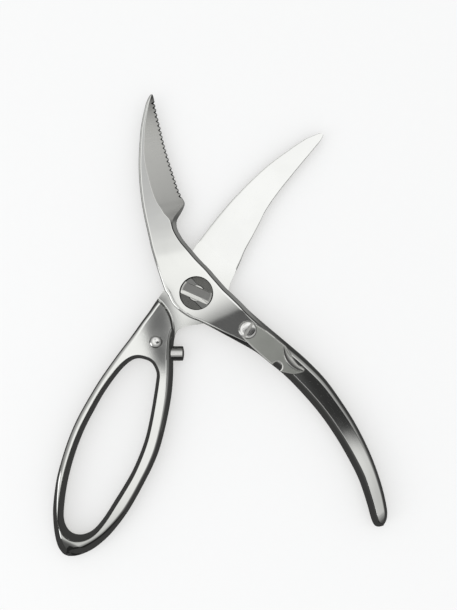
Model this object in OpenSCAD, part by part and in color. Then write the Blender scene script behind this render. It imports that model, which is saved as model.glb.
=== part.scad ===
// Take-apart poultry shears, all steel: two forged halves that cross at a stud with a T-shaped head,
// one half with an open curved handle and a latch, the other with a closed finger loop and a sprung buffer.
// Millimetres. The shears lie flat and part open: Z = 0 is the resting plane and the Z axis is the pivot.

/* [Overall] */
// Pivot to blade tip
blade_length = 102; // [85:1:125]
// Pivot to the far end of each handle
handle_length = 149; // [125:1:180]
// Thickness of the handles and of the two halves where they cross
handle_thick = 10; // [9.5:0.1:12]
// Angle that the blades still have to close, as drawn
open_angle = 51; // [40:1:60]
// Angle from the drawn pose to the take-apart position
release_angle = 21; // [15:1:24]

/* [Blades] */
// Gap between the two halves where they slide on each other
ride_gap = 0.1; // [0.05:0.01:0.2]
// Thickness of a blade at its tip
tip_thick = 1.5; // [1.2:0.1:2.5]
// Thickness left at the cutting edge
edge_thick = 0.4; // [0.2:0.05:0.8]
// Distance from tooth to tooth of the toothed edge
tooth_pitch = 2.3; // [1.8:0.1:3]
// Number of gullets in the toothed edge
tooth_count = 22; // [10:1:22]
// Depth of a gullet
tooth_depth = 0.9; // [0.5:0.1:1.2]

/* [Handles] */
// Width of the rounding along the inside of the open handle
open_inner_round = 3.2; // [1:0.1:4]
// Width of the rounding along all the other handle edges
side_round = 1.9; // [1:0.1:2.5]
// Width of the rounding inside the finger loop
loop_round = 2.3; // [1:0.1:3]
// Radius of the rounded shoulder where the loop handle becomes full thickness
shoulder_r = 21.4; // [18:0.2:26]
// Distance from the pivot to the nearest point of that shoulder
shoulder_near = 16.3; // [16:0.1:18]

/* [Pivot] */
// Diameter of the stud where the front half turns on it
journal_d = 8; // [7:0.1:8.6]
// Radial clearance of the front half on the stud
journal_clear = 0.05; // [0.02:0.01:0.1]
// Diameter of the round recess that takes the stud's head
recess_d = 16.4; // [15:0.1:18]
// Thickness of the recess floor under the stud's head
floor_thick = 2; // [1.5:0.1:2.5]
// Width of the stud's T-shaped head
head_w = 6.4; // [5:0.1:6.8]
// Direction of the T-shaped head
head_dir = 156; // [150:1:162]
// Depth of the head's top below the front face
head_sink = 0.4; // [0.2:0.1:1]
// Diameter of the stud's shank in the rear half
shank_d = 6.6; // [6:0.1:7]
// Diameter of the riveted end on the underside
rivet_d = 10.4; // [9:0.1:12]

/* [Latch] */
// Distance from the pivot to the latch screw
latch_r = 31.5; // [30.5:0.1:32.5]
// Thickness of the latch plate
latch_thick = 2; // [1.5:0.1:2.5]
// Diameter of the latch screw's shoulder
latch_shoulder_d = 5; // [4:0.1:5.5]
// Diameter of the latch screw's thread
latch_thread_d = 4; // [3:0.1:4]
// Length of thread in the handle
latch_thread_length = 6; // [4:0.5:7]
// Diameter of the latch screw's head
latch_head_d = 8.6; // [7:0.1:9]
// Height of the latch screw's head
latch_head_h = 1.1; // [0.8:0.1:1.5]
// Distance from the pivot to the catch stud
catch_r = 31.4; // [30.5:0.1:32.5]
// Diameter of the catch stud's neck
catch_neck_d = 4.4; // [3.5:0.1:4.6]
// Diameter of the catch stud's domed head
catch_head_d = 6.2; // [5.5:0.1:7]
// Height of the thumb rib above the latch plate
rib_h = 1.5; // [1:0.1:2]

/* [Buffer] */
// Diameter of the buffer plunger
plunger_d = 7.3; // [6.5:0.1:7.4]
// Distance from the pivot, down the page, to the plunger's axis
plunger_drop = 30.2; // [29.5:0.1:30.6]
// Radius of the plunger's crowned free end
crown_r = 12; // [8:0.5:40]
// Length of the plunger
plunger_length = 12.4; // [11.5:0.1:12.8]
// How far the plunger can be pushed in
plunger_travel = 1.6; // [1:0.1:1.8]
// Diameter of the spring pocket in the plunger's tail
pocket_d = 3.4; // [3:0.1:3.6]
// Wire thickness of the plunger spring
wire_d = 0.5; // [0.4:0.05:0.6]

/* [Hidden] */
$fn = 64;

// Clearances, on the radius unless the comment says otherwise
seat_clear = 0.02;       // pressed and screwed pieces in their holes
slide_clear = 0.05;      // plunger in its bore, latch on its shoulder
lift_clear = 0.1;        // height between faces that slide on each other
notch_clear = 0.25;      // latch notch round the catch stud
slot_clear = 0.25;       // each side of the T-shaped head in the keyhole
edge_break = 0.08;       // sharp edges, just broken
past = 1;                // how far a cutting tool runs past the face that it cuts
weld = 0.2;              // how far one shape of a piece reaches into the next, to make one solid

// Fixed sizes of the small parts
rivet_h = (rivet_d - shank_d) / 2;
head_chamfer = 1.2;      // along the top edges of the T-shaped head
catch_shank_d = 3.5;
catch_rim_h = 0.5;
catch_dome_h = 0.9;
washer_thick = 0.5;
washer_d = latch_shoulder_d + 4;
screw_slot_w = 1.3;
screw_slot_depth = 0.6;
screw_slot_dir = 58;
thread_runout = 0.5;     // how much deeper the thread's hole is than the thread
keeper_d = 1.5;
keeper_inset = 2.8;      // from the plunger's tail to the keeper pin
keeper_bite = 1.1;       // how far the keeper pin reaches into the plunger's groove
keeper_sunk = 0.2;       // how far the keeper pin stops short of the underside
groove_clear = 0.3;      // width of the groove over the pin
pocket_depth = 4.5;
bore_spare = 0.4;        // room left behind the plunger when it is fully in
coils = 5;
coil_clear = 0.1;        // round the spring in its pocket

// Directions of the four arms from the pivot
front_blade_dir = 102.8;
rear_blade_dir = front_blade_dir - open_angle;
front_handle_dir = -52.5;
rear_handle_dir = -115.4;

// Levels
mid_z = handle_thick / 2;
front_z = mid_z + ride_gap / 2;
rear_z = mid_z - ride_gap / 2;
half_thick = handle_thick - front_z;
floor_z = front_z + floor_thick;
head_z = floor_z + lift_clear / 2;
head_top_z = handle_thick - head_sink;

// The outlines are laid out at these lengths; past near_reach they stretch with the driving lengths
drawn_blade = 102;
drawn_handle = 149;
near_reach = 46;
drawn_latch_reach = 22.6;
shoulder_reach = 20;     // from here out to the tip the blades thin down
cut_r = 26.5;            // the clearance that each half leaves for the other reaches this far

function turn(p, a) = [p.x * cos(a) - p.y * sin(a), p.x * sin(a) + p.y * cos(a)];
function stretch(x, full, drawn) =
    x <= near_reach ? x : near_reach + (x - near_reach) * (full - near_reach) / (drawn - near_reach);
function blade_x(x) = stretch(x, blade_length, drawn_blade);
function handle_x(x) = stretch(x, handle_length, drawn_handle);

// Catmull-Rom curve through b and c, with a before and d after
function curve(a, b, c, d, t) =
    0.5 * (2 * b + (c - a) * t + (2 * a - 5 * b + 4 * c - d) * t * t + (3 * b - a - 3 * c + d) * t * t * t);
function at_open(v, i) = v[min(max(i, 0), len(v) - 1)];
function at_ring(v, i) = v[(i + len(v)) % len(v)];
function ring_curve(v, steps) = [
    for (i = [0 : len(v) - 1], k = [0 : steps - 1])
        curve(at_ring(v, i - 1), v[i], at_ring(v, i + 1), at_ring(v, i + 2), k / steps)
];
function open_curve(v, steps) = [
    for (i = [0 : len(v) - 2], k = [0 : (i == len(v) - 2 ? steps : steps - 1)])
        curve(at_open(v, i - 1), v[i], v[i + 1], at_open(v, i + 2), k / steps)
];
// Numbers between the rows of a list, in a straight line from row to row
function line_rows(v, steps) = [
    for (i = [0 : len(v) - 2], k = [0 : (i == len(v) - 2 ? steps : steps - 1)])
        v[i] + (v[i + 1] - v[i]) * k / steps
];
// A closed outline moved inwards by d, for one that runs anticlockwise
function shrink(v, d) = [
    for (i = [0 : len(v) - 1])
        let (along = at_ring(v, i + 1) - at_ring(v, i - 1))
        v[i] + d * [-along.y, along.x] / norm(along)
];

// A skin over rings that all have the same number of points, closed by a flat end at each end
module skin(rings) {
    n = len(rings[0]);
    last = (len(rings) - 1) * n;
    walls = [
        for (i = [0 : len(rings) - 2], k = [0 : n - 1])
            let (a = i * n + k, b = i * n + (k + 1) % n)
            each [[a, b, b + n], [a, b + n, a + n]]
    ];
    start = [for (k = [1 : n - 2]) [0, k + 1, k]];
    end = [for (k = [1 : n - 2]) [last, last + k, last + k + 1]];
    polyhedron([for (r = rings) each r], concat(walls, start, end), convexity = 6);
}

// One cross-section of a half, as eight points round it. side holds its left and right outermost points.
// form holds the bottom and top levels, then the width and depth of the slope at its
// top left, top right, bottom left and bottom right.
function section(side, form) =
    let (
        a = [side[0], side[1]],
        b = [side[2], side[3]],
        across = (b - a) / norm(b - a),
        widest = max(form[2] + form[4], form[6] + form[8]),
        fit = min(1, 0.86 * norm(b - a) / widest),
        top_left = a + across * form[2] * fit,
        top_right = b - across * form[4] * fit,
        low_left = a + across * form[6] * fit,
        low_right = b - across * form[8] * fit
    )
    [
        [low_left.x, low_left.y, form[0]],
        [a.x, a.y, form[0] + form[7]],
        [a.x, a.y, form[1] - form[3]],
        [top_left.x, top_left.y, form[1]],
        [top_right.x, top_right.y, form[1]],
        [b.x, b.y, form[1] - form[5]],
        [b.x, b.y, form[0] + form[9]],
        [low_right.x, low_right.y, form[0]]
    ];
function sections(sides, forms, steps) =
    let (smooth = open_curve(sides, steps), even = line_rows(forms, steps))
    [for (i = [0 : len(smooth) - 1]) section(smooth[i], even[i])];

// Left and right outline points of an arm, from rows of distance along it and offset to either side
function arm_sides(rows, dir, left, right) = [
    for (r = rows)
        let (a = turn([r[0], r[left]], dir), b = turn([r[0], r[right]], dir))
        [a.x, a.y, b.x, b.y]
];

// Blade thickness at distance x from the pivot
function blade_thick(x) =
    half_thick + (tip_thick - half_thick) * max(0, x - shoulder_reach) / (blade_length - shoulder_reach);

// Rows of each arm: distance from the pivot, offset to the left, offset to the right, and on a blade
// the width of its ground face. Each arm is seen looking outwards from the pivot.
front_blade_rows = [
    for (r = [
        [102, 0.3, -0.5, 0.4], [101, 1.5, -0.7, 1.2], [98.5, 3.4, -0.7, 2.6], [95, 5.2, -0.6, 4.2],
        [90, 7.5, -0.6, 6.4], [85, 9.4, -0.7, 8.6], [76, 12.1, -0.8, 10.6], [68, 14.1, -1.3, 12],
        [60, 15.5, -2, 12.6], [53, 16.3, -2.6, 12.7], [48, 16.7, -3.6, 12.8], [45, 16.8, -4.1, 12.4],
        [41.7, 16.9, -2, 9], [38.5, 16.9, 1, 3.4], [36, 16.9, 2.2, 2.3], [32.5, 16.9, 2.1, 2.3],
        [27, 16.9, 0.3, 2.3], [21.5, 16.6, -2.5, 2.3], [16, 16.2, -5.4, 2.3], [10, 15.6, -9.1, 2.3]
    ]) [blade_x(r[0]), r[1], r[2], r[3]]
];
rear_blade_rows = [
    for (r = [
        [102, 0.3, -0.6, 0.4], [101, 1.3, -1.1, 1], [98.5, 2.8, -1.5, 2], [95, 4.7, -1.4, 3.5],
        [90, 6.5, -1.3, 5.4], [85, 8, -1.1, 7], [76, 10.6, -0.9, 9], [68, 12.3, -0.8, 10.4],
        [60, 13.5, -1, 11.6], [53, 14.3, -1.7, 12], [48, 14.8, -2.8, 12.4], [40, 15.2, -4.3, 9],
        [32, 15.3, -5.7, 3.4], [26, 15.2, -7.4, 2.3], [20, 15, -8.9, 2.3], [13, 14.6, -10.7, 2.3]
    ]) [blade_x(r[0]), r[1], r[2], r[3]]
];
front_handle_rows = [
    for (r = [
        [24, 15.8, -1.8], [31, 17.2, 1.3], [41, 19.4, 5.5], [50, 21.4, 7.8], [60, 23.4, 10.1],
        [73, 24.9, 11.6], [86, 24.6, 12.2], [99, 23.5, 11.6], [112.5, 21.1, 9.9], [124, 18, 7.6],
        [135, 14, 3.9], [143, 10.2, 0.7], [146.5, 8, 0], [148.3, 6, 1], [149, 4.3, 2.3]
    ]) [handle_x(r[0]), r[1], r[2]]
];
rear_handle_rows = [
    for (r = [
        [34.7, 3.5, -20.3], [42.7, 7.2, -22], [51.2, 10.4, -23.6], [60, 12.9, -25], [69.5, 15.1, -26],
        [79.3, 16.8, -26.7], [88, 17.3, -26.7], [96, 17.1, -26.1], [104.2, 16.7, -25], [112.4, 16, -23.5],
        [120, 14.7, -21.4], [127.8, 12.7, -18.7], [134, 10.3, -15.8], [139, 7.5, -12.9],
        [142.5, 4.6, -10.3], [145, 1.7, -7.7], [146.6, -1.4, -4.8]
    ]) [handle_x(r[0]), r[1], r[2]]
];
// Where the arms join round the pivot: left x and y, right x and y
front_boss_rows = [
    [-15.75, 1.6, 9.3, 8.7], [-14.2, -0.8, 11.75, 5.9], [-12.5, -4.4, 13.8, 3.6], [-10.4, -7, 15.6, 1.7],
    [-7.2, -9.7, 17.8, -0.3], [-3.25, -12.2, 20.2, -2.6], [1.75, -14.2, 22.6, -4.9], [6.5, -16.5, 25, -7.4]
];
rear_boss_rows = [
    [-8.4, 13, 15.4, -2], [-11.5, 9.5, 13.4, -7.8], [-14.3, 5.3, 9.6, -12.2], [-16.75, 1.1, 4, -15],
    [-18.3, -1.2, -2.2, -16], [-19.9, -3.6, -6.3, -16.6], [-21.7, -6.4, -9.2, -18.3],
    [-23.5, -9.2, -10.9, -21], [-27.2, -14.2, -11.75, -26]
];
// The finger loop's rim in the loop handle's own frame, anticlockwise: distance from the pivot, offset to the left
loop_rim = [
    for (p = [
        [39.2, -8.5], [40.4, -13.2], [43.5, -16.6], [49, -19.2], [57, -21.2], [66, -22.6], [76, -23.3],
        [86, -23.6], [96, -23], [106, -21.6], [116, -19.4], [125, -16.6], [132, -13.6], [136, -10],
        [137.8, -6], [137.4, -1.5], [134.7, 2.8], [130, 6], [122.3, 8.1], [112, 9.4], [103, 10.4],
        [95, 11], [86, 10.8], [77, 9.9], [68, 8], [58, 5.3], [49, 2.6], [44.2, 0.8], [41.2, -2], [39.5, -5]
    ]) turn([handle_x(p.x), p.y], rear_handle_dir)
];

// Cross-section forms
side_share = 0.4;        // of the thickness, for the slope at each edge of a handle
side_depth = side_share * handle_thick;
spine_bevel = 1.2;
spine_depth = 0.8;
bank_width = 2.3;        // sloping band along the shank's edge
bank_depth = 1.5;
function front_blade_form(r) =
    let (t = blade_thick(r[0]))
    [front_z, front_z + t, spine_bevel, spine_depth * t / half_thick, r[3],
     r[3] > bank_width || r[0] > near_reach ? t - edge_thick : bank_depth,
     edge_break, edge_break, edge_break, edge_break];
function rear_blade_form(r) =
    let (t = blade_thick(r[0]))
    [rear_z - t, rear_z, edge_break, edge_break, edge_break, edge_break, r[3],
     r[3] > bank_width || r[0] > near_reach ? t - edge_thick : bank_depth,
     spine_bevel, spine_depth * t / half_thick];
front_boss_form = [0, handle_thick, spine_bevel, spine_depth, bank_width, bank_depth,
                   side_round, side_depth, side_round, side_depth];
rear_boss_form = [0, handle_thick, side_round, side_depth, side_round, side_depth,
                  spine_bevel, spine_depth, spine_bevel, spine_depth];
function handle_form(left, right, lift) =
    let (depth = side_share * (handle_thick - 2 * lift))
    [lift, handle_thick - lift, left, depth, right, depth, left, depth, right, depth];
// How much the last rows of a handle draw in above and below, to round its end
function end_lift(rows, i) = max(0, 1.3 * (i - len(rows) + 3));

front_sides = concat(
    arm_sides(front_blade_rows, front_blade_dir, 1, 2),
    front_boss_rows,
    arm_sides(front_handle_rows, front_handle_dir, 2, 1)
);
front_forms = concat(
    [for (r = front_blade_rows) front_blade_form(r)],
    [for (r = front_boss_rows) front_boss_form],
    [for (i = [0 : len(front_handle_rows) - 1])
        handle_form(open_inner_round, side_round, end_lift(front_handle_rows, i))]
);
rear_sides = concat(
    arm_sides(rear_blade_rows, rear_blade_dir, 1, 2),
    rear_boss_rows,
    arm_sides(rear_handle_rows, rear_handle_dir, 2, 1)
);
rear_forms = concat(
    [for (r = rear_blade_rows) rear_blade_form(r)],
    [for (r = rear_boss_rows) rear_boss_form],
    [for (i = [0 : len(rear_handle_rows) - 1])
        handle_form(side_round, side_round, end_lift(rear_handle_rows, i))]
);

// The rounded shoulder of the loop handle, as a circle that the handle's full thickness starts inside
shoulder_dir = rear_handle_dir - 33.9;
shoulder_at = turn([shoulder_near + shoulder_r, 0], shoulder_dir);
// The same on the underside of the open handle, nearly straight across
heel_r = 40;
heel_near = 20;
heel_side = 4;
heel_at = turn([heel_near + heel_r, heel_side], front_handle_dir);

// Latch: its screw, the catch stud, and the reach and swing that bring the notch onto the catch when closed
latch_screw_dir = -35.5;
latch_at = turn([latch_r, 0], latch_screw_dir);
catch_dir = -129.6;
catch_at = turn([catch_r, 0], catch_dir);
catch_when_closed = turn(catch_at, open_angle) - latch_at;
latch_reach = norm(catch_when_closed);
latch_dir = -51.3;
latch_z = handle_thick + lift_clear;
latch_top_z = latch_z + latch_thick;
notch_r = catch_neck_d / 2 + notch_clear;
latch_outline = [
    [-4.6, -0.6], [-3.4, -3.2], [-0.6, -4.4], [6.6, -3.9], [13.2, -2.8], [19.6, -1.6], [24.9, -0.6],
    [28, 1.4], [30.6, 3.8], [32.2, 6.4], [32.8, 8.6], [32.3, 9.7], [30.8, 9.6], [28.7, 8.7],
    [24.6, 8.7], [21.2, 9.4], [17.8, 9.7], [15.8, 9.4], [11.3, 8.4], [5.3, 6.8], [0.8, 5.2], [-2.6, 3.8], [-4.3, 1.6]
];
rib_at = [24.6, 14.9];
rib_r = 10.1;
rib_w = 1.6;
rib_start = 219;
rib_sweep = 104;

// Buffer: the plunger slides along X in the loop handle. Its crowned end just meets the open handle's inner
// edge when the shears are closed, so its place comes from that edge turned to the closed position.
front_smooth = open_curve(front_sides, 2);
handle_start = 2 * (len(front_blade_rows) + 5);
closed_edge = [
    for (i = [handle_start : handle_start + 24])
        let (p = turn([front_smooth[i][0], front_smooth[i][1]], -open_angle))
        [-p.y, -p.x]
];
contact_clear = 0.05;
function crown_drop(d) = crown_r - sqrt(crown_r * crown_r - d * d);
plunger_tip_x = contact_clear + max([
    for (share = [-1 : 0.1 : 1])
        let (d = share * plunger_d / 2)
        lookup(plunger_drop + d, closed_edge) - crown_drop(d)
]);
plunger_bore_d = plunger_d + 2 * slide_clear;
plunger_tail_x = plunger_tip_x + plunger_length;
bore_end_x = plunger_tail_x + plunger_travel + bore_spare;
keeper_x = plunger_tail_x - keeper_inset;
keeper_top_z = mid_z - plunger_d / 2 + keeper_bite;
groove_w = keeper_d + groove_clear;

// Puts a shape on the plunger's axis: its Z then runs from the pivot side into the handle
module on_plunger_axis(x) {
    translate([-x, -plunger_drop, mid_z]) rotate([0, -90, 0]) children();
}

// The gullets, each a leaning notch that starts just outside the cutting edge
module blade_teeth() {
    tip_gap = 4.5;       // from the blade's tip to the first gullet
    outside = -0.3;
    mouth = [-0.8, 0.5]; // where the gullet's mouth starts and ends, along the blade
    lean = -0.1;         // where its bottom lies, along the blade
    cutting_edge = [for (k = [len(front_blade_rows) - 1 : -1 : 0]) [front_blade_rows[k][0], front_blade_rows[k][2]]];
    for (i = [0 : tooth_count - 1]) {
        x = blade_length - tip_gap - i * tooth_pitch;
        translate([x, lookup(x, cutting_edge), front_z - past])
            linear_extrude(half_thick + 2 * past)
                polygon([[mouth[0], outside], [mouth[1], outside], [lean, tooth_depth]]);
    }
}

module front_half() {
    color([0.72, 0.72, 0.7]) difference() {
        skin(sections(front_sides, front_forms, 2));
        // clearance under the shank for the rear half
        translate([0, 0, front_z - handle_thick]) difference() {
            cylinder(h = handle_thick, r = cut_r);
            translate([heel_at.x, heel_at.y, -past]) cylinder(h = handle_thick + 2 * past, r = heel_r, $fn = 128);
        }
        // pivot: bore, recess for the stud's head, and the keyhole slot that lets the head through
        translate([0, 0, front_z - past]) cylinder(h = half_thick, d = journal_d + 2 * journal_clear);
        translate([0, 0, floor_z]) cylinder(h = handle_thick, d = recess_d);
        rotate(head_dir - release_angle)
            translate([0, 0, front_z]) intersection() {
                cube([recess_d, head_w + 2 * slot_clear, handle_thick], center = true);
                cylinder(h = handle_thick, d = recess_d - seat_clear, center = true);
            }
        // latch screw's thread and washer
        translate([latch_at.x, latch_at.y, handle_thick - washer_thick])
            cylinder(h = handle_thick, d = washer_d + 2 * seat_clear);
        translate([latch_at.x, latch_at.y, handle_thick - washer_thick - latch_thread_length - thread_runout])
            cylinder(h = handle_thick, d = latch_thread_d + 2 * seat_clear);
        rotate(front_blade_dir) blade_teeth();
    }
}

module loop_hollow() {
    rim = ring_curve(loop_rim, 2);
    // height as a share of the thickness, and how far the wall bulges into the loop there
    levels = [[1.1, 0], [1, 0], [0.8, 0.6], [0.6, 1], [0.4, 1], [0.2, 0.6], [0, 0], [-0.1, 0]];
    skin([
        for (l = levels)
            [for (p = shrink(rim, loop_round * l[1])) [p.x, p.y, l[0] * handle_thick]]
    ]);
}

module rear_half() {
    color([0.78, 0.78, 0.76]) difference() {
        skin(sections(rear_sides, rear_forms, 2));
        loop_hollow();
        // clearance above the shank for the front half, up to the rounded shoulder
        translate([0, 0, rear_z]) difference() {
            cylinder(h = handle_thick, r = cut_r);
            translate([shoulder_at.x, shoulder_at.y, -past]) cylinder(h = handle_thick + 2 * past, r = shoulder_r, $fn = 128);
        }
        // stud's seat with its countersink
        translate([0, 0, -past]) cylinder(h = handle_thick, d = shank_d + 2 * seat_clear);
        rivet_cone(seat_clear);
        // catch stud's hole
        translate([catch_at.x, catch_at.y, mid_z])
            cylinder(h = handle_thick, d = catch_shank_d + 2 * seat_clear);
        // buffer bore and keeper hole
        on_plunger_axis(-plunger_tip_x) cylinder(h = plunger_tip_x + bore_end_x, d = plunger_bore_d);
        translate([-keeper_x, -plunger_drop, -past])
            cylinder(h = past + mid_z, d = keeper_d + 2 * seat_clear);
    }
}
// Countersunk end of the stud, wider by gap all round
module rivet_cone(gap) {
    foot = rivet_d / 2 + gap;
    rotate_extrude()
        polygon([[0, -gap], [foot, -gap], [foot, 0], [shank_d / 2 + gap, rivet_h], [0, rivet_h]]);
}

module pivot_stud() {
    color([0.62, 0.62, 0.6]) {
        rivet_cone(0);
        cylinder(h = rear_z, d = shank_d);
        translate([0, 0, rear_z]) cylinder(h = head_z - rear_z + weld, d = journal_d);
        rotate(head_dir) difference() {
            intersection() {
                translate([0, 0, head_z]) cylinder(h = head_top_z - head_z, d = recess_d - 2 * slot_clear);
                translate([-recess_d / 2, -head_w / 2, 0]) cube([recess_d, head_w, handle_thick]);
            }
            for (side = [-1, 1])
                translate([0, side * head_w / 2, head_top_z]) rotate([45, 0, 0])
                    cube([recess_d + past, head_chamfer, head_chamfer], center = true);
        }
    }
}

module latch_lever() {
    shift = latch_reach - drawn_latch_reach;
    outline = ring_curve([for (p = latch_outline) p.x > 10 ? [p.x + shift, p.y] : p], 3);
    color([0.6, 0.61, 0.58])
        translate([latch_at.x, latch_at.y, latch_z]) rotate(latch_dir) {
            difference() {
                linear_extrude(latch_thick) polygon(outline);
                translate([0, 0, -past]) cylinder(h = latch_thick + 2 * past, d = latch_shoulder_d + 2 * slide_clear);
                translate([latch_reach, 0, -past]) {
                    cylinder(h = latch_thick + 2 * past, r = notch_r);
                    translate([-notch_r, -4 * notch_r, 0]) cube([2 * notch_r, 4 * notch_r, latch_thick + 2 * past]);
                }
            }
            translate([rib_at.x + shift, rib_at.y, latch_thick - weld])
                rotate(rib_start) rotate_extrude(angle = rib_sweep)
                    translate([rib_r - rib_w, 0]) square([rib_w, rib_h + weld]);
        }
}

module latch_screw() {
    head_z0 = latch_top_z + lift_clear / 2;
    color([0.75, 0.75, 0.73]) translate([latch_at.x, latch_at.y, 0]) difference() {
        union() {
            translate([0, 0, handle_thick - washer_thick - latch_thread_length])
                cylinder(h = latch_thread_length + washer_thick, d = latch_thread_d);
            translate([0, 0, handle_thick - washer_thick])
                cylinder(h = head_z0 - handle_thick + washer_thick, d = latch_shoulder_d);
            translate([0, 0, head_z0]) cylinder(h = latch_head_h, d = latch_head_d);
        }
        rotate(screw_slot_dir) translate([0, 0, head_z0 + latch_head_h])
            cube([latch_head_d + past, screw_slot_w, 2 * screw_slot_depth], center = true);
    }
}

module latch_washer() {
    color([0.5, 0.5, 0.5])
        translate([latch_at.x, latch_at.y, handle_thick - washer_thick]) difference() {
            cylinder(h = washer_thick, d = washer_d);
            translate([0, 0, -past]) cylinder(h = washer_thick + 2 * past, d = latch_shoulder_d + 4 * slide_clear);
        }
}

module catch_stud() {
    head_r = catch_head_d / 2;
    dome_r = (head_r * head_r + catch_dome_h * catch_dome_h) / (2 * catch_dome_h);
    under_head = latch_top_z + 1.5 * lift_clear;
    color([0.8, 0.8, 0.78]) translate([catch_at.x, catch_at.y, 0]) {
        translate([0, 0, mid_z + seat_clear]) cylinder(h = mid_z, d = catch_shank_d);
        translate([0, 0, handle_thick]) cylinder(h = under_head - handle_thick + weld, d = catch_neck_d);
        translate([0, 0, under_head]) intersection() {
            cylinder(h = catch_rim_h + catch_dome_h, r = head_r);
            translate([0, 0, catch_rim_h + catch_dome_h - dome_r]) sphere(r = dome_r, $fn = 128);
        }
    }
}

module buffer_plunger() {
    color([0.7, 0.7, 0.7]) difference() {
        intersection() {
            on_plunger_axis(plunger_tip_x) cylinder(h = plunger_length, d = plunger_d);
            on_plunger_axis(plunger_tip_x + crown_r) sphere(r = crown_r, $fn = 128);
        }
        on_plunger_axis(plunger_tail_x - pocket_depth) cylinder(h = pocket_depth + past, d = pocket_d);
        translate([-keeper_x - groove_w / 2, -plunger_drop - groove_w / 2, 0])
            cube([groove_w + plunger_travel, groove_w, keeper_top_z + lift_clear]);
    }
}

// Coil spring between the bore's end and the pocket's floor
module buffer_spring() {
    mean_r = pocket_d / 2 - wire_d / 2 - coil_clear;
    start_x = plunger_tail_x - pocket_depth + wire_d / 2 + slide_clear;
    length = bore_end_x - start_x - wire_d / 2 - slide_clear;
    per_turn = 14;
    rings = [
        for (i = [0 : coils * per_turn])
            let (a = 360 * i / per_turn, x = start_x + length * i / (coils * per_turn))
            [for (k = [0 : 7])
                let (r = mean_r + wire_d / 2 * cos(45 * k))
                [-x - wire_d / 2 * sin(45 * k), -plunger_drop + r * cos(a), mid_z + r * sin(a)]]
    ];
    color([0.45, 0.45, 0.47]) skin(rings);
}

module buffer_keeper_pin() {
    color([0.6, 0.6, 0.6])
        translate([-keeper_x, -plunger_drop, keeper_sunk])
            cylinder(h = keeper_top_z - keeper_sunk, d = keeper_d);
}

front_half();
rear_half();
pivot_stud();
latch_lever();
latch_screw();
latch_washer();
catch_stud();
buffer_plunger();
buffer_spring();
buffer_keeper_pin();
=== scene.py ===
# %% [markdown]
# # A pair of take-apart poultry shears, all steel
# Two forged halves cross at a stud with a T-shaped head. One half carries a blade with fine teeth, an
# open curved handle and a swinging latch. The other carries a plain blade, a closed finger loop, a
# catch for the latch and a small sprung buffer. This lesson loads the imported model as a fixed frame
# and then makes each visible piece again as a smooth surface worked out with numpy, so that the
# steel catches the light the way ground and polished steel does.

# %% Load the frame
import math

import bmesh
import bpy
import numpy as np
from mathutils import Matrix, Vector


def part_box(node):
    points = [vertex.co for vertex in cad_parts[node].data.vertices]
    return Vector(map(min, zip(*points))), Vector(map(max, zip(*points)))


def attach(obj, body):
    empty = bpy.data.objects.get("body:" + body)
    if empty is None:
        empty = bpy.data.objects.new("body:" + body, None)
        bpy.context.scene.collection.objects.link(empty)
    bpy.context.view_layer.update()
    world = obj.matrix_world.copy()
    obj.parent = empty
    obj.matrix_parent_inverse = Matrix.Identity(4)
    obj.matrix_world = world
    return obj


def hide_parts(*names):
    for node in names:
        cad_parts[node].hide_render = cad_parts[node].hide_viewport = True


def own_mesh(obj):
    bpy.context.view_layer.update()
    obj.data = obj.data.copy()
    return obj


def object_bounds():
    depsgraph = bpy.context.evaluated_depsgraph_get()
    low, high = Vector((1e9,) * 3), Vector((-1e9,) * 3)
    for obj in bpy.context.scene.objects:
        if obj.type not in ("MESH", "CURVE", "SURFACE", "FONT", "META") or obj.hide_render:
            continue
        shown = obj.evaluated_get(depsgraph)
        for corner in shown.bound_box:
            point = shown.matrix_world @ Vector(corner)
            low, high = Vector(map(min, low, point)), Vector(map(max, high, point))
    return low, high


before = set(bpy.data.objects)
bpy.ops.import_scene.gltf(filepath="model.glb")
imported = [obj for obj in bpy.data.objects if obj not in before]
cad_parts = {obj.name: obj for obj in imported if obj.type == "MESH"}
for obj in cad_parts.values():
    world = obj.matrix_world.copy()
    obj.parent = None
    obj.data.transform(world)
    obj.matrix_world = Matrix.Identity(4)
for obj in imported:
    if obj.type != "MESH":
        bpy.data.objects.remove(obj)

cad_low, cad_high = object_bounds()
print("CAD box in mm", [round(v * 1000, 2) for v in (*cad_low, *cad_high)])

# %% [markdown]
# ## A skin over rings
# Nearly every piece here is a row of closed outlines, called rings, with a skin stretched over them.
# A blade is rings along its length, a screw is rings of growing and shrinking circles. Blender can
# loft curves too, but arrays say exactly where each point goes, and one function then closes the
# ends, turns the faces outwards and lays a UV map. The map is called "grain": its first number runs
# along the polishing lines in metres and its second across them, so brushed steel follows the shape.

# %% Rings into a mesh
MM = 0.001
FINISHES = 4            # how many finishes one piece can carry
STEEL_SHARP = math.radians(33)


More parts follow.
